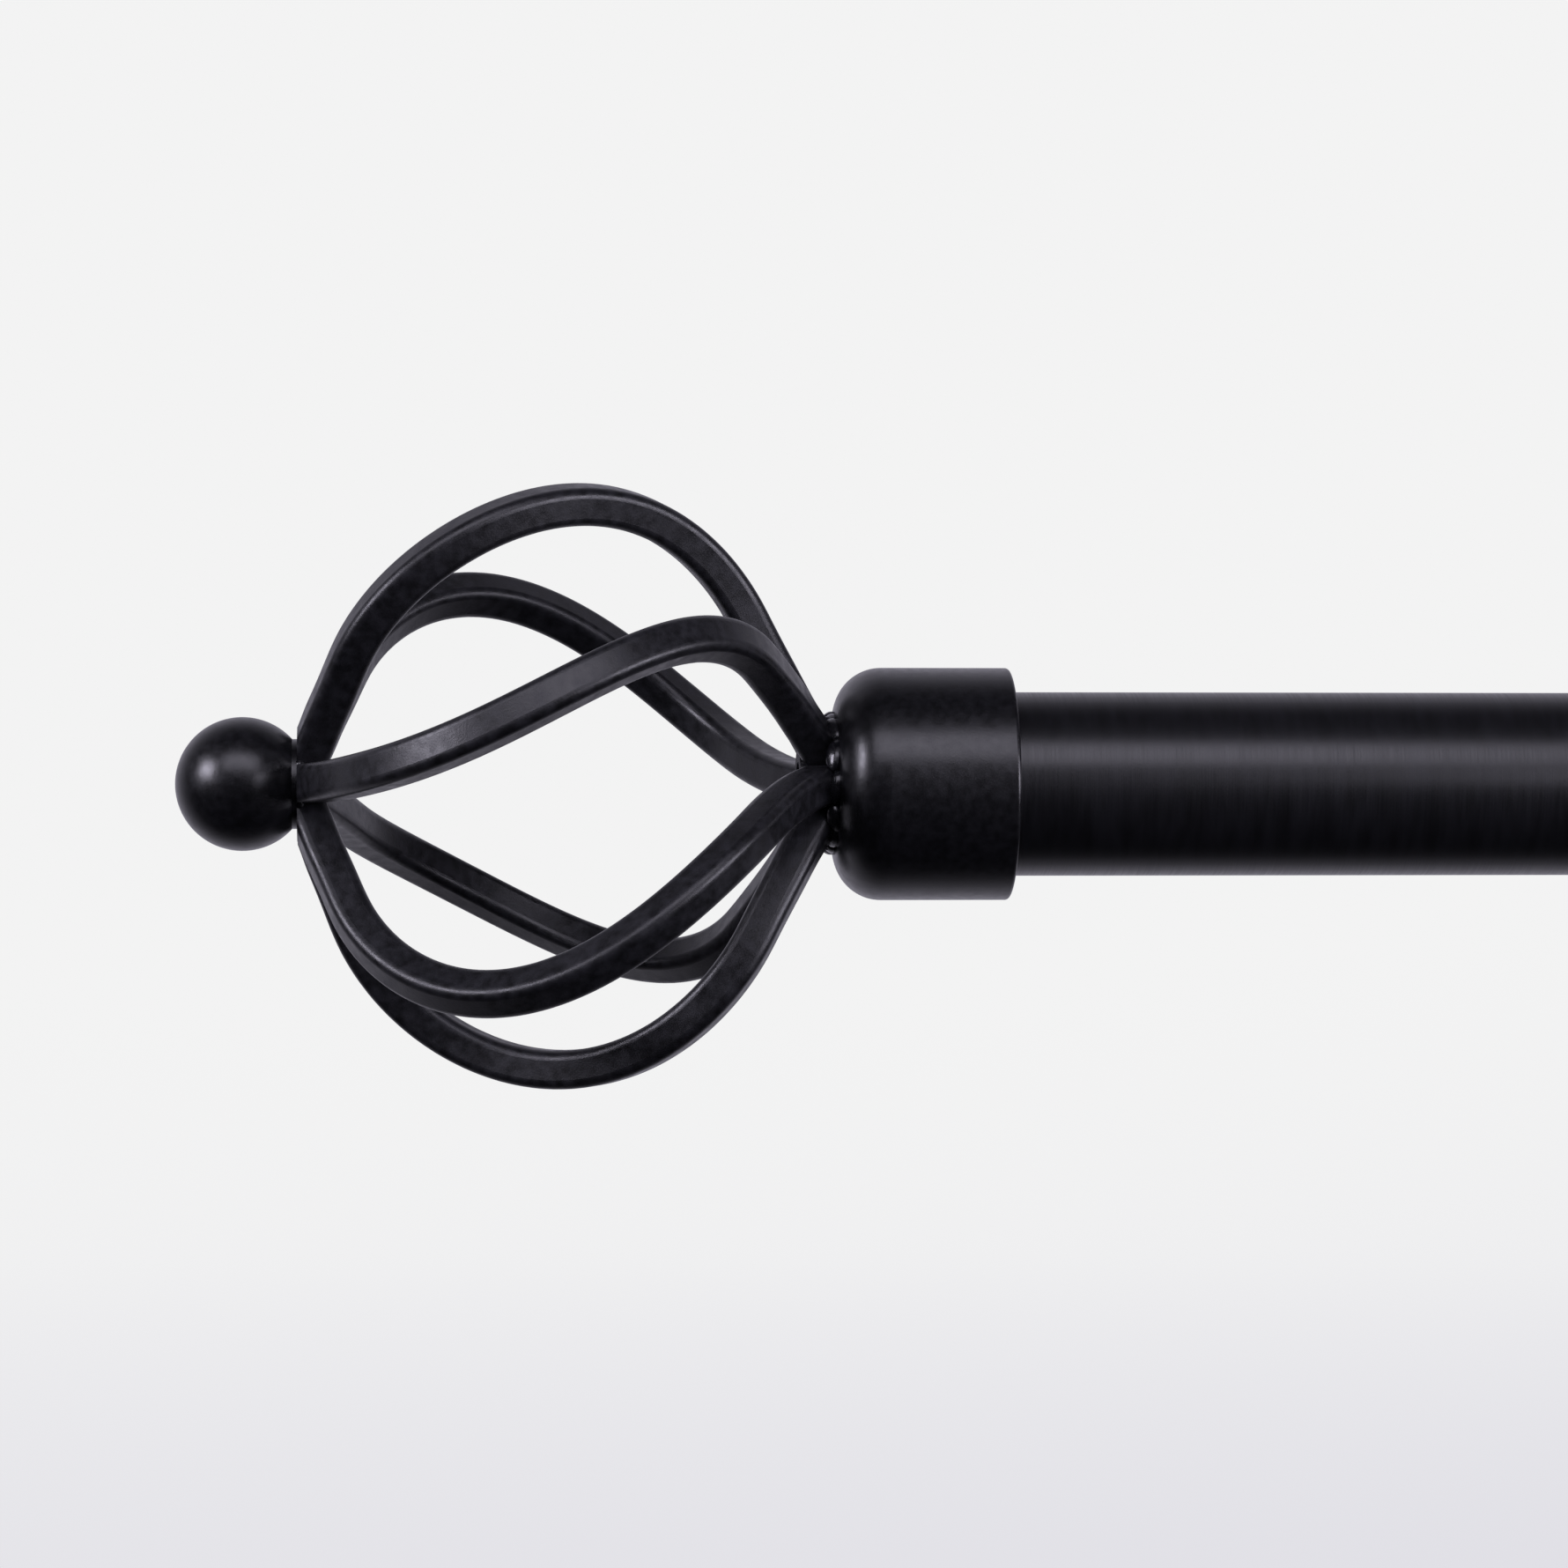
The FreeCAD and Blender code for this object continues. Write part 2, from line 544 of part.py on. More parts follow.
def cradle(side, x):
    """Make the open-topped cradle: a U-shaped strip with a seat behind and a boss in front."""
    start_x = f"{x} - Dims.cradle_width / 2"
    round_outside = cylinder(CRADLE_OUTSIDE, "Dims.cradle_width", (start_x, ROD_Y, "0"), "+X")
    back_wall = box(
        ("Dims.cradle_width", CRADLE_OUTSIDE, "Dims.cradle_back"), (start_x, ROD_Y, "0"),
    )
    front_wall = box(
        ("Dims.cradle_width", CRADLE_OUTSIDE, "Dims.cradle_front"),
        (start_x, f"{ROD_Y} - {CRADLE_OUTSIDE}", "0"),
    )
    seat = cylinder(
        "Dims.arm_diameter / 2", f"{CRADLE_OUTSIDE} + Dims.seat_length", (x, ROD_Y, "0"), "+Y",
    )
    boss = cylinder(
        "Dims.boss_diameter / 2", f"{CRADLE_OUTSIDE} + Dims.boss_height", (x, ROD_Y, "0"), "-Y",
    )
    above = f"({CRADLE_OUTSIDE} + Dims.cradle_back)"
    crown = box(
        (f"2 * {CRADLE_OUTSIDE}", f"2 * {CRADLE_INSIDE}", above),
        (f"{x} - {CRADLE_OUTSIDE}", f"{ROD_Y} - {CRADLE_INSIDE}", "0"),
    )
    hollow = cylinder(
        CRADLE_INSIDE, f"2 * {CRADLE_OUTSIDE}", (f"{x} - {CRADLE_OUTSIDE}", ROD_Y, "0"), "+X",
    )
    front_top = box(
        ("Dims.cradle_width", CRADLE_OUTSIDE, above),
        (start_x, f"{ROD_Y} - {CRADLE_OUTSIDE}", "Dims.cradle_front"),
    )
    clamp_hole = cylinder(THUMB_HOLE, f"2 * {CRADLE_OUTSIDE}", (x, ROD_Y, "0"), "-Y")
    shank_hole = cylinder(
        "Dims.cradle_screw_thread / 2", f"2 * {CRADLE_OUTSIDE}", (x, ROD_Y, "0"), "+Y",
    )
    sink = cone(
        "Dims.cradle_screw_head / 2", "Dims.cradle_screw_thread / 2", CRADLE_SCREW_HEAD_DEPTH,
        (x, CRADLE_SCREW_TOP_Y, "0"), "+Y",
    )
    head_room = cylinder(
        "Dims.cradle_screw_head / 2", f"{CRADLE_INSIDE} + {SCREW_FLOAT}", (x, ROD_Y, "0"), "+Y",
    )
    solid = join(round_outside, back_wall, front_wall, seat, boss)
    boss_radius = size("Dims.boss_diameter / 2")
    boss_y = size(f"{ROD_Y} - {CRADLE_OUTSIDE} - Dims.boss_height")
    width = size("Dims.cradle_width")
    front_top_z = size("Dims.cradle_front")
    drilled = soften(
        cut(solid, hollow, crown, front_top, clamp_hole, shank_hole, sink, head_room),
        lambda edge: (is_circle(edge, boss_radius) and near(edge.CenterOfMass.y, boss_y))
        or (near(edge.Length, width) and edge.CenterOfMass.z > front_top_z - CLOSE),
    )
    finish(drilled, f"{side}_cradle")

    head = cone(
        "Dims.cradle_screw_head / 2", "Dims.cradle_screw_thread / 2", CRADLE_SCREW_HEAD_DEPTH,
        (x, CRADLE_SCREW_TOP_Y, "0"), "+Y",
    )
    shank = cylinder(
        "Dims.cradle_screw_thread / 2", "Dims.cradle_screw_reach", (x, CRADLE_SCREW_TOP_Y, "0"), "+Y",
    )
    key = hexagon(
        "Dims.cradle_screw_thread * Dims.hex_share", CRADLE_SCREW_HEAD_DEPTH,
        (x, CRADLE_SCREW_TOP_Y, "0"), "+Y",
    )
    finish(cut(join(head, shank), key), f"{side}_cradle_screw")

    head_reach = f"({CRADLE_OUTSIDE} + Dims.boss_height + Dims.thumb_standoff)"
    thumb_screw(
        f"{side}_rod_clamp_screw",
        f"({head_reach} - Dims.tube_diameter / 2 - {SCREW_FLOAT})",
        (x, f"{ROD_Y} - {head_reach}", "0"),
        "-Y",
    )


def make_bracket(side, x):
    """Make one whole bracket."""
    wall_plate(side, x)
    arm_socket(side, x)
    arm(side, x)
    cradle(side, x)


# ---- Finials: modelled with the cup's floor at the origin and the ball along -X ----

def step_from(start, direction, distance):
    """Return the point at a distance from a start, in the cage's own (x, radius) plane."""
    return (start[0] + direction[0] * distance, start[1] + direction[1] * distance)


def leg_tangent(foot, centre, radius):
    """Return where a straight leg from its foot touches the belly's arc."""
    across = foot[0] - centre[0]
    up = foot[1] - centre[1]
    bearing = math.atan2(up, across)
    swing = math.acos(radius / math.hypot(across, up))
    angles = (bearing + swing, bearing - swing)
    angle = max(angles, key=math.sin) % math.tau
    return (centre[0] + radius * math.cos(angle), centre[1] + radius * math.sin(angle)), angle


def cage_profile(stations):
    """Return (x, radius) points of a bar's centre line: a straight leg, the belly and a leg.

    Both legs run on past their feet, so that the bars can be cut off square.
    """
    length = size("Dims.cage_length")
    radius = size("Dims.belly_radius")
    centre = (-length / 2 - size("Dims.belly_offset"), size("Dims.cage_radius") - radius)
    feet = ((-length, size("Dims.ball_leg_radius")), (0.0, size("Dims.cup_leg_radius")))
    ball_touch, ball_angle = leg_tangent(feet[0], centre, radius)
    cup_touch, cup_angle = leg_tangent(feet[1], centre, radius)
    overrun = size("Dims.bar_width")
    ball_leg = math.dist(feet[0], ball_touch)
    cup_leg = math.dist(feet[1], cup_touch)
    ball_way = ((feet[0][0] - ball_touch[0]) / ball_leg, (feet[0][1] - ball_touch[1]) / ball_leg)
    cup_way = ((feet[1][0] - cup_touch[0]) / cup_leg, (feet[1][1] - cup_touch[1]) / cup_leg)
    arc = radius * (ball_angle - cup_angle)
    total = ball_leg + arc + cup_leg + 2 * overrun
    points = []
    for number in range(stations):
        run = total * number / (stations - 1) - overrun
        if run < ball_leg:
            points.append(step_from(ball_touch, ball_way, ball_leg - run))
        elif run < ball_leg + arc:
            angle = ball_angle - (run - ball_leg) / radius
            points.append(step_from(centre, (math.cos(angle), math.sin(angle)), radius))
        else:
            points.append(step_from(cup_touch, cup_way, run - ball_leg - arc))
    return points


def bar_angle(x, lead):
    """Return how far round the axis a bar is at one place along the cage, in radians."""
    half = size("Dims.cage_length") / 2
    way = (x + half) / half
    return math.radians(lead + size("Dims.cage_twist") / 2 * way + size("Dims.twist_lean") * way * way)


def section_wire(centre, outward, sideways):
    """Return a square wire with rounded corners, centred on a point of a bar's centre line."""
    half = size("Dims.bar_width") / 2
    corner = size("Dims.bar_corner")
    flat = half - corner
    edges = []
    ring = ((1, 0), (0, 1), (-1, 0), (0, -1))
    for index, (a, b) in enumerate(ring):
        c, d = ring[(index + 1) % 4]
        start = centre + outward * (a * half - c * flat) + sideways * (b * half - d * flat)
        end = centre + outward * (a * half + c * flat) + sideways * (b * half + d * flat)
        edges.append(Part.makeLine(start, end))
        pivot = centre + outward * ((a + c) * flat) + sideways * ((b + d) * flat)
        middle = pivot + (outward * (a + c) + sideways * (b + d)) * (corner / math.sqrt(2))
        turn_end = centre + outward * (c * half + a * flat) + sideways * (d * half + b * flat)
        edges.append(Part.Arc(end, middle, turn_end).toShape())
    return Part.Wire(edges)


def bar_blank(lead, profile):
    """Return a whole twisted bar as one loft, before its ends are cut."""
    line = []
    for x, radius in profile:
        turn = bar_angle(x, lead)
        line.append(V(x, -radius * math.cos(turn), radius * math.sin(turn)))
    wires = []
    last = len(line) - 1
    for index, ((x, _), point) in enumerate(zip(profile, line)):
        ahead = min(index + 1, last)
        behind = max(index - 1, 0)
        tangent = (line[ahead] - line[behind]).normalize()
        turn = bar_angle(x, lead)
        slope = V(profile[ahead][1] - profile[behind][1], profile[ahead][0] - profile[behind][0], 0)
        slope.normalize()
        surface = V(-slope.x, -slope.y * math.cos(turn), slope.y * math.sin(turn))
        sideways = surface.cross(tangent).normalize()
        wires.append(section_wire(point, tangent.cross(sideways), sideways))
    return Part.makeLoft(wires, True, False)


def slab(low_x, high_x):
    """Return a block that spans the whole cage between two planes across the rod."""
    reach = size("Dims.cage_radius") * 2
    return Part.makeBox(high_x - low_x, 2 * reach, 2 * reach, V(low_x, -reach, -reach))


def core(x, radius, length):
    """Return a cylinder along +X."""
    return Part.makeCylinder(radius, length, V(x, 0, 0), V(1, 0, 0))


def wedge(low, high, x, reach, length):
    """Return the sector between two angles round the axis, as a prism along +X."""
    turns = (math.radians(low), math.radians((low + high) / 2), math.radians(high))
    rim = [V(x, -reach * math.cos(turn), reach * math.sin(turn)) for turn in turns]
    face = Part.Face(Part.makePolygon([V(x, 0, 0), *rim, V(x, 0, 0)]))
    return face.extrude(V(length, 0, 0))


def weld_zone_cutter(index, start_x, end_x):
    """Return what a bar loses near one end, where it is mitred against both of its neighbours."""
    reach = size("Dims.bar_width") * WELD_REACH
    middle = math.degrees(bar_angle((start_x + end_x) / 2, 0.0))
    leads = sorted(BAR_LEADS)
    place_in_ring = leads.index(BAR_LEADS[index])
    lead = leads[place_in_ring]
    after = leads[(place_in_ring + 1) % len(leads)]
    before = leads[place_in_ring - 1]
    high = lead + (after - lead) % 360 / 2 + middle
    low = lead - (lead - before) % 360 / 2 + middle
    zone = core(start_x, reach, end_x - start_x)
    return zone.cut(wedge(low, high, start_x, 2 * reach, end_x - start_x))


def cage_bars():
    """Return the six bars, cut off square at both ends and mitred where they meet."""
    profile = cage_profile(BAR_STATIONS)
    length = size("Dims.cage_length")
    depth = size("Dims.bar_width") * WELD_DEPTH
    nut_length = size("Dims.cage_nut_length")
    nut = core(-nut_length, size("Dims.cage_nut_diameter") / 2, nut_length)
    stud = core(-length, size("Dims.stud_diameter") / 2, size("Dims.stud_in_cage"))
    bars = []
    for index, lead in enumerate(BAR_LEADS):
        blank = bar_blank(lead, profile).common(slab(-length, 0.0))
        ball_end = weld_zone_cutter(index, -length, depth - length)
        cup_end = weld_zone_cutter(index, -depth, 0.0)
        bar = blank.cut([nut, stud, ball_end, cup_end])
        bars.append(max(bar.Solids, key=lambda solid: solid.Volume))
    return bars


def held(item):
    """Return a holder for one placed item, with a placement of its own."""
    holder = doc.addObject("Part::Compound", "Holder")
    holder.Links = [item]
    return holder


def put_finial(item, side, label):
    """Place one finial piece and name it; the right finial is the left one turned end for end."""
    if side == "left":
        place(item, (LEFT_FLOOR_X, ROD_Y, "0"))
    else:
        place(item, (RIGHT_FLOOR_X, ROD_Y, "0"), "turned")
    return finish(item, f"{side}_{label}")


def make_bars(side, bars):
    """Add the six bars of one cage."""
    for number, bar in enumerate(bars, start=1):
        item = doc.addObject("Part::Feature", "CageBar")
        item.Shape = bar
        put_finial(item, side, f"cage_bar_{number}")


SET_SCREW_HOLE = "(Dims.set_screw_thread / 2 + Dims.running_gap)"
REDUCER_LENGTH = "(Dims.cup_length - Dims.cup_floor)"


def make_ball(side):
    """Make the ball with its short neck, cut flat where it meets the cage and bored for the stud."""
    ball = doc.addObject("Part::Sphere", "Ball")
    bind(ball, Radius="Dims.ball_diameter / 2")
    centre_x = "-Dims.cage_length - Dims.neck_length"
    place(ball, (centre_x, "0", "0"), "+X")
    neck = cylinder("Dims.neck_diameter / 2", "Dims.neck_length", (centre_x, "0", "0"), "+X")
    bore = cylinder(
        "Dims.stud_diameter / 2", "Dims.stud_in_ball",
        ("-Dims.cage_length - Dims.stud_in_ball", "0", "0"), "+X",
    )
    beyond = cylinder(
        "Dims.ball_diameter", "Dims.ball_diameter", ("-Dims.cage_length", "0", "0"), "+X",
    )
    put_finial(held(cut(join(ball, neck), beyond, bore)), side, "tip_ball")


def make_cup(side):
    """Make the collar over the rod's end, with a domed shoulder and its set screw's hole behind."""
    body = new_body("Cup")
    profile = new_sketch(body, "Profile", "XY_Plane")
    outline(profile, (
        ("0", "Dims.cage_screw_thread / 2"),
        ("Dims.cup_floor", "Dims.cage_screw_thread / 2"),
        ("Dims.cup_floor", CUP_BORE),
        ("Dims.cup_length", CUP_BORE),
        ("Dims.cup_length", CUP_OUTSIDE),
        ("0", CUP_OUTSIDE),
    ))
    revolve(body, profile)
    outside = size(CUP_OUTSIDE)
    rim_x = size("Dims.cup_length")
    round_edges(
        body,
        lambda edge: is_circle(edge, outside) and near(edge.CenterOfMass.x, 0),
        "Dims.cup_shoulder",
    )
    round_edges(
        body,
        lambda edge: is_circle(edge, outside) and near(edge.CenterOfMass.x, rim_x),
        "Dims.cup_rim_round",
    )
    hole = new_sketch(body, "SetScrewHole", "XZ_Plane")
    circle(hole, SET_SCREW_HOLE, "Dims.cup_length - Dims.set_screw_inset")
    pocket(body, hole, f"2 * {CUP_OUTSIDE}", False)
    put_finial(body, side, "finial_cup")


def make_fixings(side):
    """Make the nut and screw that hold the cage to its cup, the ball's stud and the set screw."""
    nut_start = ("-Dims.cage_nut_length", "0", "0")
    blank = cylinder("Dims.cage_nut_diameter / 2", "Dims.cage_nut_length", nut_start, "+X")
    thread = cylinder("Dims.cage_screw_thread / 2", "Dims.cage_nut_length", nut_start, "+X")
    put_finial(held(cut(blank, thread)), side, "cage_nut")

    shank = cylinder(
        "Dims.cage_screw_thread / 2", "Dims.cage_screw_reach + Dims.cup_floor",
        ("-Dims.cage_screw_reach", "0", "0"), "+X",
    )
    head = cylinder(
        "Dims.cage_screw_head / 2", "Dims.cage_screw_head_height", ("Dims.cup_floor", "0", "0"), "+X",
    )
    key = hexagon(
        "Dims.cage_screw_thread * Dims.hex_share",
        "Dims.cage_screw_head_height",
        ("Dims.cup_floor + Dims.cage_screw_head_height / 2", "0", "0"),
        "+X",
    )
    put_finial(held(cut(join(shank, head), key)), side, "cage_screw")

    stud = cylinder(
        "Dims.stud_diameter / 2", "Dims.stud_in_ball + Dims.stud_in_cage",
        ("-Dims.cage_length - Dims.stud_in_ball", "0", "0"), "+X",
    )
    put_finial(held(stud), side, "ball_stud")

    gripped = "Dims.tube_diameter / 2" if side == "left" else INNER_OUTSIDE
    tip_y = f"({gripped} + {SCREW_FLOAT})"
    inset_x = "Dims.cup_length - Dims.set_screw_inset"
    length = f"({CUP_OUTSIDE} - {SCREW_FLOAT} - {tip_y})"
    grub = cylinder("Dims.set_screw_thread / 2", length, (inset_x, tip_y, "0"), "+Y")
    key = hexagon(
        "Dims.set_screw_thread * Dims.hex_share", f"{length} / 2",
        (inset_x, f"{tip_y} + {length} / 2", "0"), "+Y",
    )
    put_finial(held(cut(grub, key)), side, "set_screw")


def make_reducer():
    """Make the sleeve that takes up the gap between the right cup and the thinner inner tube."""
    blank = cylinder(CUP_BORE, REDUCER_LENGTH, ("Dims.cup_floor", "0", "0"), "+X")
    bore = cylinder(INNER_RUNNING_BORE, REDUCER_LENGTH, ("Dims.cup_floor", "0", "0"), "+X")
    hole = cylinder(
        SET_SCREW_HOLE, CUP_OUTSIDE, ("Dims.cup_length - Dims.set_screw_inset", "0", "0"), "+Y",
    )
    put_finial(held(cut(blank, bore, hole)), "right", "reducer_sleeve")


def make_finials():
    """Make both finials; they differ only in the sleeve and set screw for the thinner tube."""
    bars = cage_bars()
    for side in ("left", "right"):
        make_cup(side)
        make_fixings(side)
        make_bars(side, bars)
        make_ball(side)
    make_reducer()


def write_parts():
    """Check every object and every finished shape, then write one file per sub-part."""
    doc.recompute()
    failed = [item.Name for item in doc.Objects if {"Invalid", "Error"} & set(item.State)]
    for item in finished:
        if item.Shape.isNull() or not item.Shape.isValid() or not item.Shape.Solids:
            failed.append(item.Label)
    if failed:
        raise RuntimeError(f"these did not build: {failed}")
    os.makedirs("parts", exist_ok=True)
    for item in finished:
        item.Shape.exportStep(os.path.join("parts", f"{item.Label}.step"))
        print(f"{item.Label}: {item.Shape.Volume:.1f} mm3, {len(item.Shape.Solids)} solid")


make_rod()
make_bracket("left", "0")
make_bracket("right", RIGHT_BRACKET_X)
make_finials()
write_parts()
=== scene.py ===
import json
import logging
import math
import random
from dataclasses import dataclass
from enum import Enum

import bpy
from mathutils import Matrix, Vector


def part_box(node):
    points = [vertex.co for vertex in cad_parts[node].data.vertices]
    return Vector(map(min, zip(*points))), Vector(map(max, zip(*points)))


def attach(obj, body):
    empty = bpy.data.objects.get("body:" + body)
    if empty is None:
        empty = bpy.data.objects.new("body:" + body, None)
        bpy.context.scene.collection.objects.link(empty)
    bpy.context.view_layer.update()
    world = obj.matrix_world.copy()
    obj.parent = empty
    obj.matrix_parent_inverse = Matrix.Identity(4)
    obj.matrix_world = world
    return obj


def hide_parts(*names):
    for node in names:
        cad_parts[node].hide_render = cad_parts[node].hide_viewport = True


# Looks of an adjustable black curtain rod with a twisted birdcage finial at each end.
# Metres. X runs along the rod, Y points into the wall and Z is up, as in the CAD frame.
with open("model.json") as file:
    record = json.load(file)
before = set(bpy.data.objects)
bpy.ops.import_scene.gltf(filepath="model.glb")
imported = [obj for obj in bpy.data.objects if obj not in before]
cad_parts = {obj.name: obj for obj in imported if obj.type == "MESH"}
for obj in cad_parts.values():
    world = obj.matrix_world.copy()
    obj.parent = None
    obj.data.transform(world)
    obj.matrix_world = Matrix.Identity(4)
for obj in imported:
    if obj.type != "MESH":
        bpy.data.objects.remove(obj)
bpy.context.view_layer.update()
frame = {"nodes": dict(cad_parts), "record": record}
LOG = logging.getLogger("curtain_rod")
MM = 0.001
COATING_IOR = 1.5  # polyester powder and acrylic lacquer
NYLON_IOR = 1.53
NOISE_SPAN = (0.3, 0.7)  # a noise seldom leaves this range
BLEND_SPAN = (0.35, 0.65)  # where one colour turns into the other


class Side(Enum):
    """The two ends of the rod; the value says which way the finial points along X."""

    LEFT = -1
    RIGHT = 1

    @property
    def word(self) -> str:
        """Return the word that starts this side's node names."""
        return self.name.lower()


def linear(colour: str) -> tuple[float, float, float, float]:
    """Turn an sRGB hex colour into linear light.

    Args:
        colour: six hex digits after a hash sign.

    Returns:
        Red, green, blue and an alpha of one.
    """
    channels = [int(colour[start:start + 2], 16) / 255 for start in (1, 3, 5)]
    toned = [c / 12.92 if c <= 0.04045 else ((c + 0.055) / 1.055) ** 2.4 for c in channels]
    return (*toned, 1.0)


def add_node(
    tree: bpy.types.NodeTree,
    kind: str,
    inputs: dict[str | int, object] | None = None,
    **settings: object,
) -> bpy.types.Node:
    """Add a shader node.

    Args:
        tree: the node tree it goes into.
        kind: the node's type name.
        inputs: a value or another node's output for each named or numbered input.
        settings: properties of the node itself.

    Returns:
        The new node.
    """
    node = tree.nodes.new(kind)
    for name, value in settings.items():
        setattr(node, name, value)
    for name, value in (inputs or {}).items():
        if isinstance(value, bpy.types.NodeSocket):
            tree.links.new(value, node.inputs[name])
        else:
            node.inputs[name].default_value = value
    return node


def new_material(name: str) -> tuple[bpy.types.Material, bpy.types.NodeTree, bpy.types.Node]:
    """Make an empty node material.

    Args:
        name: the finish's name.

    Returns:
        The material, its tree and its surface shader.
    """
    material = bpy.data.materials.new(name)
    material.use_nodes = True
    tree = material.node_tree
    tree.nodes.clear()
    shader = add_node(tree, "ShaderNodeBsdfPrincipled")
    add_node(tree, "ShaderNodeOutputMaterial", {"Surface": shader.outputs["BSDF"]})
    return material, tree, shader


def scaled_places(tree: bpy.types.NodeTree, grain: tuple[float, float, float]) -> bpy.types.NodeSocket:
    """Return object coordinates divided by a grain size, so that one unit is one grain.

    Args:
        tree: the material's tree.
        grain: the pattern's size along X, Y and Z in millimetres.

    Returns:
        The scaled coordinates.
    """
    places = add_node(tree, "ShaderNodeTexCoord")
    scale = tuple(1 / (size * MM) for size in grain)
    mapping = add_node(
        tree, "ShaderNodeMapping", {"Vector": places.outputs["Object"], "Scale": scale},
    )
    return mapping.outputs["Vector"]


def noise(
    tree: bpy.types.NodeTree, grain: tuple[float, float, float], detail: float = 2.0,
) -> bpy.types.NodeSocket:
    """Return a noise from 0 to 1 with a real grain size.

    Args:
        tree: the material's tree.
        grain: the pattern's size along X, Y and Z in millimetres.
        detail: how many finer layers it has.

    Returns:
        The noise's factor.
    """
    pattern = add_node(
        tree, "ShaderNodeTexNoise",
        {"Vector": scaled_places(tree, grain), "Scale": 1.0, "Detail": detail},
    )
    return pattern.outputs["Fac"]


def between(
    tree: bpy.types.NodeTree, factor: bpy.types.NodeSocket, low: float, high: float,
) -> bpy.types.NodeSocket:
    """Spread the middle of a noise over a range of values.

    Args:
        tree: the material's tree.
        factor: the noise.
        low: the value where the noise is weak.
        high: the value where it is strong.

    Returns:
        The value.
    """
    node = add_node(
        tree, "ShaderNodeMapRange",
        {"Value": factor, "From Min": NOISE_SPAN[0], "From Max": NOISE_SPAN[1],
         "To Min": low, "To Max": high},
    )
    return node.outputs["Result"]


def blend(
    tree: bpy.types.NodeTree, factor: bpy.types.NodeSocket, first: str, second: str,
) -> bpy.types.NodeSocket:
    """Mix two sRGB colours by a noise.

    Args:
        tree: the material's tree.
        factor: the noise.
        first: the colour where the noise is weak.
        second: the colour where it is strong.

    Returns:
        The mixed colour.
    """
    ramp = add_node(tree, "ShaderNodeValToRGB", {"Fac": factor})
    for element, position, colour in zip(ramp.color_ramp.elements, BLEND_SPAN, (first, second)):
        element.position = position
        element.color = linear(colour)
    return ramp.outputs["Color"]


def relief(
    tree: bpy.types.NodeTree,
    layers: tuple[tuple[bpy.types.NodeSocket, float], ...],
) -> bpy.types.NodeSocket:
    """Stack bump layers on each other.

    Args:
        tree: the material's tree.
        layers: each layer's height pattern and its depth in millimetres.

    Returns:
        The surface normal.
    """
    normal = None
    for height, depth in layers:
        inputs = {"Height": height, "Distance": depth * MM, "Strength": 1.0}
        if normal is not None:
            inputs["Normal"] = normal
        normal = add_node(tree, "ShaderNodeBump", inputs).outputs["Normal"]
    return normal


@dataclass(frozen=True)
class PowderCoat:
    """Black polyester powder, sprayed on iron and baked: it flows into a fine orange peel.

    The forged face under it stays a little uneven, so broad soft lights break up over it.
    """

    name: str
    dark: str
    pale: str
    roughness: tuple[float, float]
    peel_mm: float
    peel_depth_mm: float
    dent_mm: float
    dent_depth_mm: float
    cloud_mm: float

    def make(self) -> bpy.types.Material:
        """Return the material."""
        material, tree, shader = new_material(self.name)
        peel = noise(tree, (self.peel_mm,) * 3, 3.0)
        dents = noise(tree, (self.dent_mm,) * 3, 1.0)
        cloud = noise(tree, (self.cloud_mm,) * 3, 6.0)
        tree.links.new(blend(tree, cloud, self.dark, self.pale), shader.inputs["Base Color"])
        tree.links.new(between(tree, cloud, *self.roughness), shader.inputs["Roughness"])
        layers = ((dents, self.dent_depth_mm), (peel, self.peel_depth_mm))
        tree.links.new(relief(tree, layers), shader.inputs["Normal"])
        shader.inputs["IOR"].default_value = COATING_IOR
        return material


@dataclass(frozen=True)
class BrushedLacquer:
    """Thin satin lacquer over a tube brushed while it turned: hair lines run round the rod."""

    name: str
    dark: str
    pale: str
    roughness: tuple[float, float]
    line_mm: float
    line_length_mm: float
    line_depth_mm: float
    streak_widths: float = 12.0
    dust_mm: float = 0.35

    def make(self) -> bpy.types.Material:
        """Return the material."""
        material, tree, shader = new_material(self.name)
        length, width = self.line_length_mm, self.line_mm
        lines = noise(tree, (width, length, length), 3.0)
        streaks = noise(tree, (self.streak_widths * width, length, length), 2.0)
        dust = noise(tree, (self.dust_mm,) * 3, 2.0)
        tree.links.new(blend(tree, streaks, self.dark, self.pale), shader.inputs["Base Color"])
        tree.links.new(between(tree, lines, *self.roughness), shader.inputs["Roughness"])
        layers = ((lines, self.line_depth_mm), (dust, self.line_depth_mm / 2))
        tree.links.new(relief(tree, layers), shader.inputs["Normal"])
        shader.inputs["IOR"].default_value = COATING_IOR
        return material


@dataclass(frozen=True)
class PlatedSteel:
    """Turned and plated steel screws: metal with fine tool marks and a faint cloudy tint."""

    name: str
    dark: str
    pale: str
    roughness: tuple[float, float]
    cloud_mm: float = 1.5
    mark_mm: float = 0.12
    mark_depth_mm: float = 0.006

    def make(self) -> bpy.types.Material:
        """Return the material."""
        material, tree, shader = new_material(self.name)
        cloud = noise(tree, (self.cloud_mm,) * 3, 3.0)
        marks = noise(tree, (self.mark_mm,) * 3, 2.0)
        tree.links.new(blend(tree, cloud, self.dark, self.pale), shader.inputs["Base Color"])
        tree.links.new(between(tree, marks, *self.roughness), shader.inputs["Roughness"])
        tree.links.new(relief(tree, ((marks, self.mark_depth_mm),)), shader.inputs["Normal"])
        shader.inputs["Metallic"].default_value = 1.0
        return material


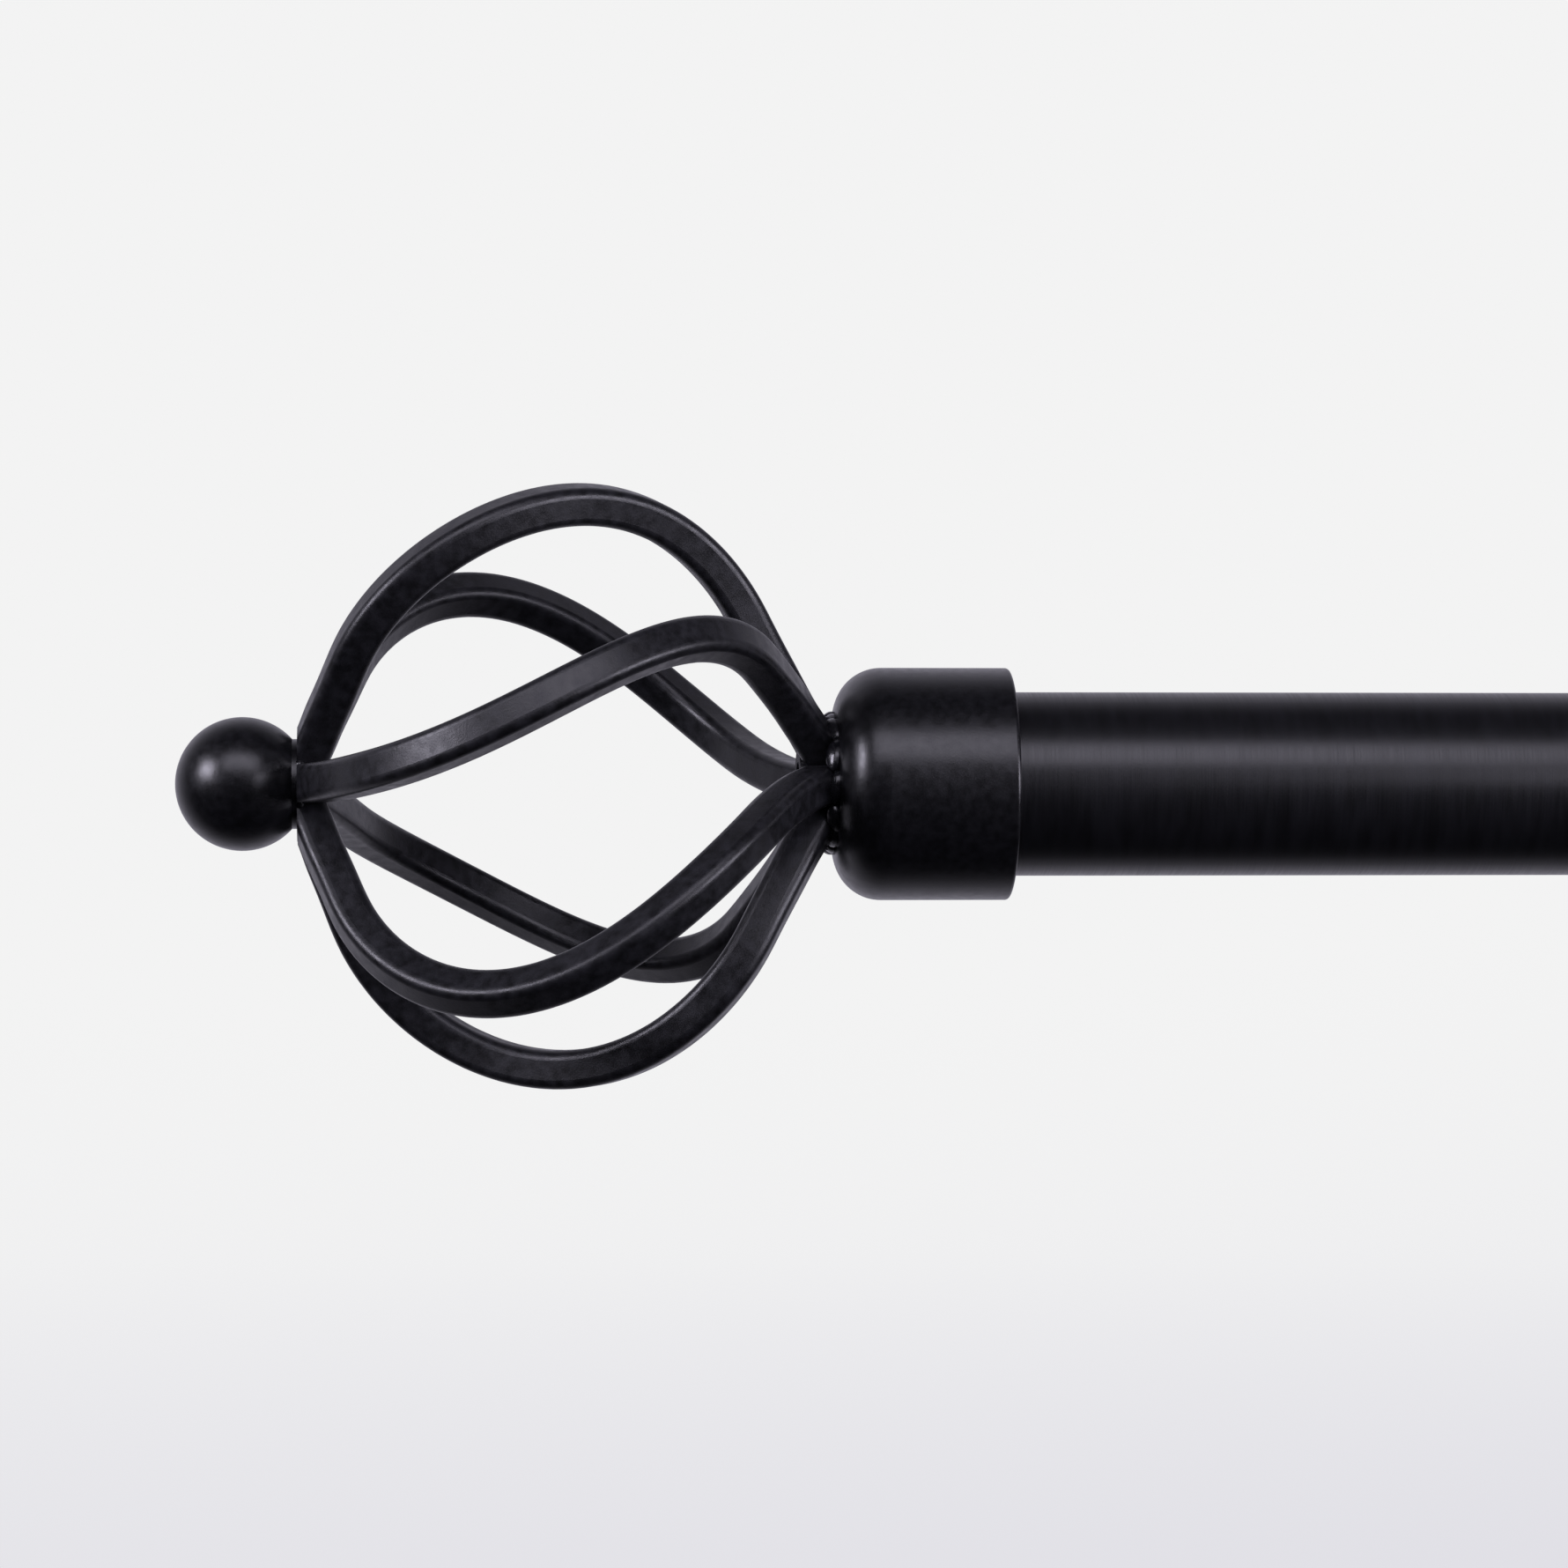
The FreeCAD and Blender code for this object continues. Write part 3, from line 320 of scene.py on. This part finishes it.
@dataclass(frozen=True)
class MouldedNylon:
    """Injection-moulded black nylon: an even matt skin with the fine grain of its mould."""

    name: str
    dark: str
    pale: str
    roughness: tuple[float, float]
    grain_mm: float = 0.18
    grain_depth_mm: float = 0.012
    flow_mm: tuple[float, float, float] = (6.0, 2.0, 2.0)

    def make(self) -> bpy.types.Material:
        """Return the material."""
        material, tree, shader = new_material(self.name)
        grain = noise(tree, (self.grain_mm,) * 3, 2.0)
        flow = noise(tree, self.flow_mm, 2.0)
        tree.links.new(blend(tree, flow, self.dark, self.pale), shader.inputs["Base Color"])
        tree.links.new(between(tree, grain, *self.roughness), shader.inputs["Roughness"])
        tree.links.new(relief(tree, ((grain, self.grain_depth_mm),)), shader.inputs["Normal"])
        shader.inputs["IOR"].default_value = NYLON_IOR
        return material


class Finish(Enum):
    """Every finish on the rod."""

    FORGED_BAR = PowderCoat(
        "powder_coated_forged_bar", "#0f0f11", "#1c1c20", (0.32, 0.46), 0.28, 0.017, 2.4, 0.03, 1.6,
    )
    TURNED_IRON = PowderCoat(
        "powder_coated_turned_iron", "#0c0c0e", "#131316", (0.28, 0.36), 0.3, 0.008, 5.0, 0.02, 1.2,
    )
    WELD = PowderCoat(
        "powder_coated_weld_bead", "#0d0d10", "#161619", (0.2, 0.34), 0.5, 0.012, 1.2, 0.05, 2.6,
    )
    TUBE = BrushedLacquer(
        "brushed_lacquered_tube", "#0c0c0e", "#141417", (0.28, 0.37), 0.16, 9.0, 0.005,
    )
    ZINC = PlatedSteel("zinc_plated_screw_steel", "#aeb2b8", "#c6c8c6", (0.25, 0.42))
    OXIDE = PlatedSteel("black_oxide_screw_steel", "#2b2b30", "#37373b", (0.32, 0.46))
    NYLON = MouldedNylon("moulded_black_nylon", "#151516", "#1c1c1d", (0.46, 0.58))


class Workshop:
    """Makes each finish once and puts finishes on CAD nodes and new pieces."""

    def __init__(self) -> None:
        """Start with no finish made."""
        self.made: dict[Finish, bpy.types.Material] = {}

    def material(self, finish: Finish) -> bpy.types.Material:
        """Return a finish's material, made at its first use."""
        if finish not in self.made:
            self.made[finish] = finish.value.make()
        return self.made[finish]

    def dress_node(self, node: str, finish: Finish) -> None:
        """Put a finish into every material slot of a CAD node."""
        for slot in frame["nodes"][node].material_slots:
            slot.material = self.material(finish)

    def dress_piece(self, piece: bpy.types.Object, finish: Finish) -> None:
        """Give a new piece its only material."""
        piece.data.materials.clear()
        piece.data.materials.append(self.material(finish))


def deselect() -> None:
    """Leave edit mode and select nothing."""
    if bpy.context.object and bpy.context.object.mode != "OBJECT":
        bpy.ops.object.mode_set(mode="OBJECT")
    bpy.ops.object.select_all(action="DESELECT")


def pick(piece: bpy.types.Object) -> None:
    """Select one object alone and make it active."""
    deselect()
    piece.select_set(True)
    bpy.context.view_layer.objects.active = piece


def apply_modifier(piece: bpy.types.Object, kind: str, **settings: object) -> None:
    """Add a modifier and apply it at once.

    Args:
        piece: the object.
        kind: the modifier's type name.
        settings: the modifier's own settings.
    """
    pick(piece)
    modifier = piece.modifiers.new(kind.title(), kind)
    for name, value in settings.items():
        setattr(modifier, name, value)
    bpy.ops.object.modifier_apply(modifier=modifier.name)


def merge(name: str, parts: list[bpy.types.Object]) -> bpy.types.Object:
    """Join several objects into one named piece.

    Args:
        name: the joined piece's name.
        parts: the objects, of which the first one stays.

    Returns:
        The joined piece.
    """
    deselect()
    for part in parts:
        part.select_set(True)
    bpy.context.view_layer.objects.active = parts[0]
    bpy.ops.object.join()
    parts[0].name = name
    parts[0].data.name = name
    return parts[0]


def copy_at(piece: bpy.types.Object, matrix: Matrix) -> bpy.types.Object:
    """Return a copy with its own mesh, moved by a matrix that goes into the mesh."""
    twin = piece.copy()
    twin.data = piece.data.copy()
    twin.data.transform(matrix)
    bpy.context.scene.collection.objects.link(twin)
    return twin


def turn_to(direction: Vector) -> Matrix:
    """Return the turn that takes +Z to a direction."""
    return direction.to_track_quat("Z", "Y").to_matrix().to_4x4()


def smooth(piece: bpy.types.Object, angle: float = 40.0) -> None:
    """Point the faces outward and shade them smooth below an angle in degrees."""
    pick(piece)
    bpy.ops.object.mode_set(mode="EDIT")
    bpy.ops.mesh.select_all(action="SELECT")
    bpy.ops.mesh.normals_make_consistent(inside=False)
    bpy.ops.object.mode_set(mode="OBJECT")
    bpy.ops.object.shade_smooth_by_angle(angle=math.radians(angle))


@dataclass
class FinialWelds:
    """Weld beads where a cage's six bars meet the ball's neck and the cup's face."""

    side: Side
    bars: int = 6
    bead_radius: float = 1.0 * MM
    neck_ring: float = 5.2 * MM
    cup_ring: float = 8.6 * MM
    neck_bead: tuple[float, float, float] = (0.9, 1.0, 1.1)
    cup_bead: tuple[float, float, float] = (1.5, 1.5, 2.7)
    foot_depth: float = 0.3 * MM
    unevenness: float = 0.2 * MM
    stray: float = 0.04
    size_spread: float = 0.15
    lean: float = 0.25
    end_reach: float = 2 * MM

    def outward(self) -> float:
        """Return 1 or -1: the way from the cup to the ball along X."""
        return float(self.side.value)

    def rod_axis(self) -> Vector:
        """Return a point of the rod's axis."""
        low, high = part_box("outer_tube")
        return (low + high) / 2

    def cup_face(self) -> float:
        """Return the X of the cup's face, where the bars start."""
        low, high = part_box(f"{self.side.word}_finial_cup")
        return low.x if self.side is Side.LEFT else high.x

    def neck_face(self) -> float:
        """Return the X of the flat end of the ball's neck."""
        low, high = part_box(f"{self.side.word}_tip_ball")
        return high.x if self.side is Side.LEFT else low.x

    def bar_turns(self, station: float) -> list[float]:
        """Return how far round the axis each bar is at a place along the rod.

        Args:
            station: the X of the plane across the rod.

        Returns:
            One angle for each bar, in radians, from +Y towards +Z.
        """
        axis = self.rod_axis()
        turns = []
        for number in range(1, self.bars + 1):
            node = frame["nodes"][f"{self.side.word}_cage_bar_{number}"]
            near = [v.co for v in node.data.vertices if abs(v.co.x - station) < self.end_reach]
            middle = sum(near, Vector()) / len(near)
            turns.append(math.atan2(middle.z - axis.z, middle.y - axis.y))
        return sorted(turns)

    def bead(self, stretch: tuple[float, float, float]) -> bpy.types.Object:
        """Make one lumpy drop of weld metal at the origin.

        Args:
            stretch: its half sizes along X, outward and round the axis, in bead radii.

        Returns:
            The bead.
        """
        deselect()
        bpy.ops.mesh.primitive_ico_sphere_add(subdivisions=2, radius=self.bead_radius)
        bead = bpy.context.object
        bpy.ops.object.mode_set(mode="EDIT")
        bpy.ops.transform.resize(value=stretch)
        bpy.ops.transform.vertex_random(offset=self.unevenness, seed=1)
        bpy.ops.object.mode_set(mode="OBJECT")
        apply_modifier(bead, "SUBSURF", levels=2, render_levels=2)
        return bead

    def ring(
        self,
        name: str,
        station: float,
        radius: float,
        turns: list[float],
        stretch: tuple[float, float, float],
    ) -> bpy.types.Object:
        """Set beads round the axis.

        Args:
            name: the piece's name.
            station: the X of the beads.
            radius: their distance from the axis.
            turns: their angles round it.
            stretch: the shape of each bead.

        Returns:
            The joined piece.
        """
        axis = self.rod_axis()
        beads = []
        luck = random.Random(name)
        model = self.bead(stretch)
        for turn in turns:
            out = radius * luck.uniform(1 - self.stray, 1 + self.stray)
            centre = Matrix.Translation((station, axis.y, axis.z))
            place = centre @ Matrix.Rotation(turn, 4, "X") @ Matrix.Translation((0, out, 0))
            size = luck.uniform(1 - self.size_spread, 1 + self.size_spread)
            lean = Matrix.Rotation(luck.uniform(-self.lean, self.lean), 4, "Y")
            beads.append(copy_at(model, place @ Matrix.Scale(size, 4) @ lean))
        bpy.data.objects.remove(model)
        piece = merge(name, beads)
        smooth(piece, 180.0)
        return piece

    def build(self, workshop: Workshop) -> list[bpy.types.Object]:
        """Make both rings of beads and let them ride on their finial."""
        neck_turns = self.bar_turns(self.neck_face() - self.outward() * MM)
        gaps = [turn + math.pi / self.bars for turn in neck_turns]
        cup_turns = self.bar_turns(self.cup_face() + self.outward() * MM)
        cup_turns += [turn + math.pi / self.bars for turn in cup_turns]
        word = self.side.word
        neck_x = self.neck_face() - self.outward() * self.foot_depth
        cup_x = self.cup_face() + self.outward() * self.foot_depth
        pieces = [
            self.ring(f"{word}_neck_weld_beads", neck_x, self.neck_ring, gaps, self.neck_bead),
            self.ring(f"{word}_cup_weld_beads", cup_x, self.cup_ring, cup_turns, self.cup_bead),
        ]
        for piece in pieces:
            workshop.dress_piece(piece, Finish.WELD)
            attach(piece, f"{word}_finial")
        return pieces


@dataclass
class SocketWeld:
    """The rippled fillet weld that holds an arm socket to its wall plate."""

    side: Side
    leg: float = 2.4 * MM
    sink: float = 0.3 * MM
    ripples: int = 34
    ripple_depth: float = 0.12 * MM
    toe: float = 0.06
    hollow: tuple[float, float] = (0.52, 0.2)
    steps: int = 272

    def build(self, workshop: Workshop) -> bpy.types.Object:
        """Spin a hollow fillet round the socket and ripple it like laid drops."""
        plate_low, plate_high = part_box(f"{self.side.word}_wall_plate")
        socket_low, socket_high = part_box(f"{self.side.word}_arm_socket")
        radius = (socket_high.x - socket_low.x) / 2
        middle_x = (socket_low.x + socket_high.x) / 2
        far, near = self.hollow[0] * self.leg, self.hollow[1] * self.leg
        corners = [
            (radius - self.sink, -self.sink),
            (radius + self.leg, -self.sink),
            (radius + self.leg, self.toe * self.leg),
            (radius + far, near),
            (radius + near, far),
            (radius + self.toe * self.leg, self.leg),
            (radius - self.sink, self.leg),
        ]
        deselect()
        bpy.ops.mesh.primitive_circle_add(vertices=len(corners), radius=radius)
        weld = bpy.context.object
        for vertex, (out, up) in zip(weld.data.vertices, corners):
            vertex.co = (out, 0, up)
        bpy.ops.object.mode_set(mode="EDIT")
        bpy.ops.mesh.select_all(action="SELECT")
        bpy.ops.mesh.spin(steps=self.steps, angle=math.tau, center=(0, 0, 0), axis=(0, 0, 1))
        bpy.ops.mesh.select_all(action="SELECT")
        bpy.ops.mesh.remove_doubles(threshold=0.01 * MM)
        bpy.ops.object.mode_set(mode="OBJECT")
        for vertex in weld.data.vertices:
            out = math.hypot(vertex.co.x, vertex.co.y)
            if out > radius and vertex.co.z > 0:
                turn = math.atan2(vertex.co.y, vertex.co.x)
                lift = self.ripple_depth * abs(math.sin(self.ripples / 2 * turn))
                vertex.co.x *= 1 + lift / out
                vertex.co.y *= 1 + lift / out
                vertex.co.z += lift
        front = Matrix.Translation((middle_x, plate_low.y, 0)) @ turn_to(Vector((0, -1, 0)))
        weld.data.transform(front)
        weld.name = f"{self.side.word}_socket_weld"
        smooth(weld, 60.0)
        workshop.dress_piece(weld, Finish.WELD)
        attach(weld, "wall_fixings")
        return weld


@dataclass
class ThumbScrew:
    """A screw with a scalloped grip and a rolled thread, in place of its plain CAD stand-in."""

    node: str
    body: str
    points: Vector
    flutes: int = 14
    points_per_flute: int = 8
    flute_depth: float = 0.75 * MM
    head_length: float = 7.0 * MM
    edge: float = 0.7 * MM
    edge_rise: float = 0.35
    edge_reach: float = 0.7
    dish_depth: float = 0.8 * MM
    dish_share: float = 0.62
    dish_slopes: tuple[float, float] = (0.93, 0.9)
    thread_radius: float = 2.5 * MM
    thread_pitch: float = 0.8 * MM
    thread_depth: float = 0.42 * MM
    groove_slope: float = 1.6
    thread_lead_in: float = 0.2
    thread_overlap: float = 1.0 * MM
    thread_sides: int = 40
    rings_per_pitch: int = 8

    def grow(self, height: float, share: float) -> None:
        """Extrude the selected cap upwards and scale it about the screw's axis."""
        bpy.ops.mesh.extrude_region_move(TRANSFORM_OT_translate={"value": (0, 0, height)})
        bpy.ops.transform.resize(value=(share, share, 1), center_override=(0, 0, 0))

    def head(self, radius: float) -> bpy.types.Object:
        """Make the scalloped head, from its underside at the origin up to its dished top.

        Args:
            radius: the head's radius over its crests.

        Returns:
            The head.
        """
        count = self.flutes * self.points_per_flute
        deselect()
        bpy.ops.mesh.primitive_circle_add(vertices=count, radius=radius, fill_type="NGON")
        head = bpy.context.object
        for vertex in head.data.vertices:
            turn = math.atan2(vertex.co.y, vertex.co.x)
            wave = (1 - math.cos(self.flutes * turn)) / 2
            vertex.co *= 1 - self.flute_depth / radius * wave ** 2
        bpy.ops.object.mode_set(mode="EDIT")
        bpy.ops.mesh.select_all(action="SELECT")
        slope = 1 - self.edge / radius
        bpy.ops.transform.resize(value=(slope, slope, 1), center_override=(0, 0, 0))
        first = 1 + self.edge_reach * (1 / slope - 1)
        rise, rest = self.edge_rise * self.edge, (1 - self.edge_rise) * self.edge
        self.grow(rise, first)
        self.grow(rest, 1 / slope / first)
        self.grow(self.head_length - 2 * self.edge, 1.0)
        self.grow(rest, 1 - (1 - self.edge_reach) * self.edge / radius)
        self.grow(rise, 1 - self.edge_reach * self.edge / radius)
        self.grow(0, self.dish_share)
        for share in self.dish_slopes:
            self.grow(-self.dish_depth / len(self.dish_slopes), share)
        bpy.ops.object.mode_set(mode="OBJECT")
        return head

    def shank(self, length: float) -> bpy.types.Object:
        """Make the threaded shank below the head.

        Args:
            length: from the tip to the head's underside.

        Returns:
            The shank.
        """
        deselect()
        bpy.ops.mesh.primitive_circle_add(
            vertices=self.thread_sides, radius=self.thread_radius, fill_type="NGON",
            location=(0, 0, -length),
        )
        shank = bpy.context.object
        tall = length + self.thread_overlap
        rings = round(tall / self.thread_pitch * self.rings_per_pitch)
        bpy.ops.object.transform_apply(location=True)
        bpy.ops.object.mode_set(mode="EDIT")
        bpy.ops.mesh.select_all(action="SELECT")
        for _ in range(rings):
            self.grow(tall / rings, 1.0)
        bpy.ops.object.mode_set(mode="OBJECT")
        for vertex in shank.data.vertices:
            turn = math.atan2(vertex.co.y, vertex.co.x) / math.tau
            phase = (vertex.co.z / self.thread_pitch - turn) % 1.0
            groove = min(1.0, self.groove_slope * (1 - abs(2 * phase - 1)))
            rise = min(1.0, (vertex.co.z + length) / self.thread_pitch + self.thread_lead_in)
            share = 1 - self.thread_depth / self.thread_radius * max(groove, 1 - rise)
            vertex.co.x *= share
            vertex.co.y *= share
        return shank

    def build(self, workshop: Workshop) -> bpy.types.Object:
        """Make the screw and put it where its CAD stand-in is."""
        low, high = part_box(self.node)
        way = self.points
        middle = (low + high) / 2
        tall = abs((high - low).dot(way))
        across = min(high.x - low.x, self.head_length * 2)
        length = tall - self.head_length
        seat = middle + way * (length - tall / 2)
        screw = merge(self.node + "_threaded", [self.head(across / 2), self.shank(length)])
        smooth(screw, 35.0)
        screw.data.transform(Matrix.Translation(seat) @ turn_to(way))
        workshop.dress_piece(screw, Finish.TURNED_IRON)
        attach(screw, self.body)
        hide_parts(self.node)
        return screw


@dataclass
class Frame:
    """The CAD nodes that stay in sight, each with the finish of the real piece."""

    workshop: Workshop

    def finish_of(self, node: str, slot: str) -> Finish:
        """Choose the finish of one node.

        Args:
            node: the node's name.
            slot: its material slot in the record.

        Returns:
            The finish.
        """
        if "cage_bar" in node:
            return Finish.FORGED_BAR
        if "cage_nut" in node or "ball_stud" in node:
            return Finish.WELD
        by_slot = {
            "satin_black_tube": Finish.TUBE,
            "black_oxide_steel": Finish.OXIDE,
            "zinc_plated_steel": Finish.ZINC,
            "black_nylon": Finish.NYLON,
        }
        return by_slot.get(slot, Finish.TURNED_IRON)

    def dress(self) -> None:
        """Put a finish on every node."""
        for part in frame["record"]["subparts"]:
            finish = self.finish_of(part["node"], part["material_slot"])
            self.workshop.dress_node(part["node"], finish)
            LOG.info("dressed %s in %s", part["node"], finish.name.lower())


@dataclass(frozen=True)
class SoftBox:
    """A rectangular soft light that faces the left finial.

    Its bearing is in degrees to the right of the camera's side of the rod, and its height in
    degrees above the rod. Its size is its width and height in metres, and its power is in watts.
    """

    name: str
    bearing: float
    height: float
    away: float
    size: tuple[float, float]
    power: float

    def hang(self, target: Vector, tint: str) -> None:
        """Add the light to the scene.

        Args:
            target: the point that it faces.
            tint: its colour, an sRGB hex value.
        """
        data = bpy.data.lights.new(self.name, "AREA")
        data.shape = "RECTANGLE"
        data.size, data.size_y = self.size
        data.energy = self.power
        data.color = linear(tint)[:3]
        box = bpy.data.objects.new(self.name, data)
        bpy.context.scene.collection.objects.link(box)
        turn, rise = math.radians(self.bearing), math.radians(self.height)
        level = math.cos(rise)
        way = Vector((math.sin(turn) * level, -math.cos(turn) * level, math.sin(rise)))
        box.location = target + way * self.away
        box.rotation_euler = way.to_track_quat("Z", "Y").to_euler()


SOFT_BOXES = (
    SoftBox("front_box", bearing=-6, height=39, away=1.1, size=(1.2, 0.52), power=6.4),
    SoftBox("left_box", bearing=-68, height=19, away=1.0, size=(0.36, 0.34), power=6.2),
    SoftBox("right_box", bearing=58, height=4, away=1.0, size=(0.55, 0.34), power=5.5),
    SoftBox("corner_box", bearing=32, height=9, away=1.1, size=(0.5, 0.32), power=1.7),
)


@dataclass
class Studio:
    """A pale paper room, the soft boxes and the camera."""

    room_radius: float = 4.9
    room_height: float = 7.0
    room_sides: int = 96
    floor: float = -0.45
    sweep: float = 0.9
    sweep_steps: int = 16
    paper_white: str = "#f3f3f3"
    # Painted shade on the paper: the grey it turns to, and the depth, side and height over which that
    # shade spreads.
    paper_shade: str = "#dedde4"
    shade_depth: tuple[float, float] = (4.6, 1.6)
    shade_across: tuple[float, float] = (-1.2, 1.6)
    shade_shares: tuple[float, float] = (0.65, 1.35)
    shade_top: float = 0.4
    light_tint: str = "#f1edff"
    mirrored_span: tuple[float, float] = (0.1, 0.95)
    mirrored_light: tuple[float, float] = (0.004, 0.74)
    lens: float = 117.8
    camera_back: float = 0.7045
    camera_left: float = 0.0616
    aim_left: float = 0.0069

    def room(self) -> None:
        """Spin a round room with a swept floor and a domed top, lit from within."""
        deselect()
        bpy.ops.mesh.primitive_cylinder_add(
            vertices=self.room_sides, radius=self.room_radius, depth=self.room_height,
            location=(0, 0, self.floor + self.room_height / 2),
        )
        room = bpy.context.object
        room.name = "paper_room"
        bpy.ops.object.transform_apply(location=True)
        bpy.ops.object.mode_set(mode="EDIT")
        bpy.ops.mesh.select_all(action="SELECT")
        bpy.ops.mesh.normals_make_consistent(inside=True)
        bpy.ops.object.mode_set(mode="OBJECT")
        apply_modifier(
            room, "BEVEL", width=self.sweep, segments=self.sweep_steps,
            limit_method="ANGLE", angle_limit=math.radians(60),
        )
        bpy.ops.object.shade_smooth()
        room.data.materials.clear()
        room.data.materials.append(self.paper())
        room.visible_glossy = False
        room.visible_diffuse = False
        room.visible_transmission = False
        room.visible_shadow = False

    def paper(self) -> bpy.types.Material:
        """Return the seamless paper: almost white, with painted shade that turns it cooler and darker
        low down, on the floor nearer the rod and more so to the right.
        """
        material = bpy.data.materials.new("seamless_paper")
        material.use_nodes = True
        tree = material.node_tree
        tree.nodes.clear()
        places = add_node(tree, "ShaderNodeTexCoord").outputs["Object"]
        split = add_node(tree, "ShaderNodeSeparateXYZ", {"Vector": places})
        depth = add_node(
            tree, "ShaderNodeMapRange",
            {"Value": split.outputs["Y"], "From Min": self.shade_depth[0],
             "From Max": self.shade_depth[1]},
        )
        across = add_node(
            tree, "ShaderNodeMapRange",
            {"Value": split.outputs["X"], "From Min": self.shade_across[0],
             "From Max": self.shade_across[1], "To Min": self.shade_shares[0],
             "To Max": self.shade_shares[1]},
        )
        low = add_node(
            tree, "ShaderNodeMapRange",
            {"Value": split.outputs["Z"], "From Min": self.shade_top, "From Max": self.floor},
        )
        share = add_node(
            tree, "ShaderNodeMath",
            {0: depth.outputs["Result"], 1: across.outputs["Result"]}, operation="MULTIPLY",
        )
        shade = add_node(
            tree, "ShaderNodeMath", {0: share.outputs[0], 1: low.outputs["Result"]},
            operation="MULTIPLY", use_clamp=True,
        )
        # Painted shade: white paper turns to a cooler grey low down, on the floor nearer the rod and
        # more to the right, where less light would reach it.
        tint = add_node(tree, "ShaderNodeValToRGB", {"Fac": shade.outputs[0]})
        tint.color_ramp.elements[0].color = linear(self.paper_white)
        tint.color_ramp.elements[1].color = linear(self.paper_shade)
        glow = add_node(tree, "ShaderNodeEmission", {"Color": tint.outputs["Color"]})
        clear = add_node(tree, "ShaderNodeBsdfTransparent")
        facing = add_node(tree, "ShaderNodeNewGeometry").outputs["Backfacing"]
        mixed = add_node(
            tree, "ShaderNodeMixShader",
            {0: facing, 1: glow.outputs["Emission"], 2: clear.outputs["BSDF"]},
        )
        add_node(tree, "ShaderNodeOutputMaterial", {"Surface": mixed.outputs["Shader"]})
        return material

    def surroundings(self) -> None:
        """Make the world that the metal mirrors: bright paper behind it, a dark room in front."""
        world = bpy.data.worlds.new("studio")
        bpy.context.scene.world = world
        world.use_nodes = True
        tree = world.node_tree
        tree.nodes.clear()
        places = add_node(tree, "ShaderNodeTexCoord").outputs["Generated"]
        split = add_node(tree, "ShaderNodeSeparateXYZ", {"Vector": places})
        behind = add_node(
            tree, "ShaderNodeMapRange",
            {"Value": split.outputs["Y"], "From Min": self.mirrored_span[0],
             "From Max": self.mirrored_span[1], "To Min": self.mirrored_light[0],
             "To Max": self.mirrored_light[1]},
            interpolation_type="SMOOTHSTEP",
        )
        light = add_node(
            tree, "ShaderNodeBackground",
            {"Color": linear(self.light_tint), "Strength": behind.outputs["Result"]},
        )
        add_node(tree, "ShaderNodeOutputWorld", {"Surface": light.outputs["Background"]})

    def camera(self, cup_face: float, rod_axis: Vector) -> None:
        """Set the camera level with the rod, off the left finial.

        Args:
            cup_face: the X where the left cup starts.
            rod_axis: a point of the rod's axis.
        """
        data = bpy.data.cameras.new("camera")
        data.lens = self.lens
        eye = bpy.data.objects.new("camera", data)
        bpy.context.scene.collection.objects.link(eye)
        eye.location = (cup_face - self.camera_left, rod_axis.y - self.camera_back, rod_axis.z)
        aim = Vector((cup_face - self.aim_left, rod_axis.y, rod_axis.z))
        eye.rotation_euler = (aim - eye.location).to_track_quat("-Z", "Y").to_euler()
        bpy.context.scene.camera = eye

    def build(self) -> None:
        """Set up everything that isn't the rod."""
        low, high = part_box("outer_tube")
        rod_axis = (low + high) / 2
        cup_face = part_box("left_finial_cup")[0].x
        finial = Vector((cup_face, rod_axis.y, rod_axis.z))
        bpy.context.scene.view_settings.view_transform = "Standard"
        self.room()
        self.surroundings()
        for box in SOFT_BOXES:
            box.hang(finial, self.light_tint)
        self.camera(cup_face, rod_axis)


def main() -> None:
    """Build the looks in order."""
    logging.basicConfig(level=logging.INFO, format="%(message)s")
    workshop = Workshop()
    Studio().build()
    Frame(workshop).dress()
    pieces: list[bpy.types.Object] = []
    for side in Side:
        pieces += FinialWelds(side).build(workshop)
        pieces.append(SocketWeld(side).build(workshop))
        word = side.word
        up, forward = Vector((0, 0, 1)), Vector((0, -1, 0))
        lock = ThumbScrew(f"{word}_arm_lock_screw", f"{word}_lock_screw", up)
        clamp = ThumbScrew(f"{word}_rod_clamp_screw", f"{word}_clamp_screw", forward)
        pieces += [lock.build(workshop), clamp.build(workshop)]
    for piece in pieces:
        LOG.info("piece %s: %d faces", piece.name, len(piece.data.polygons))


if __name__ == "__main__":
    main()
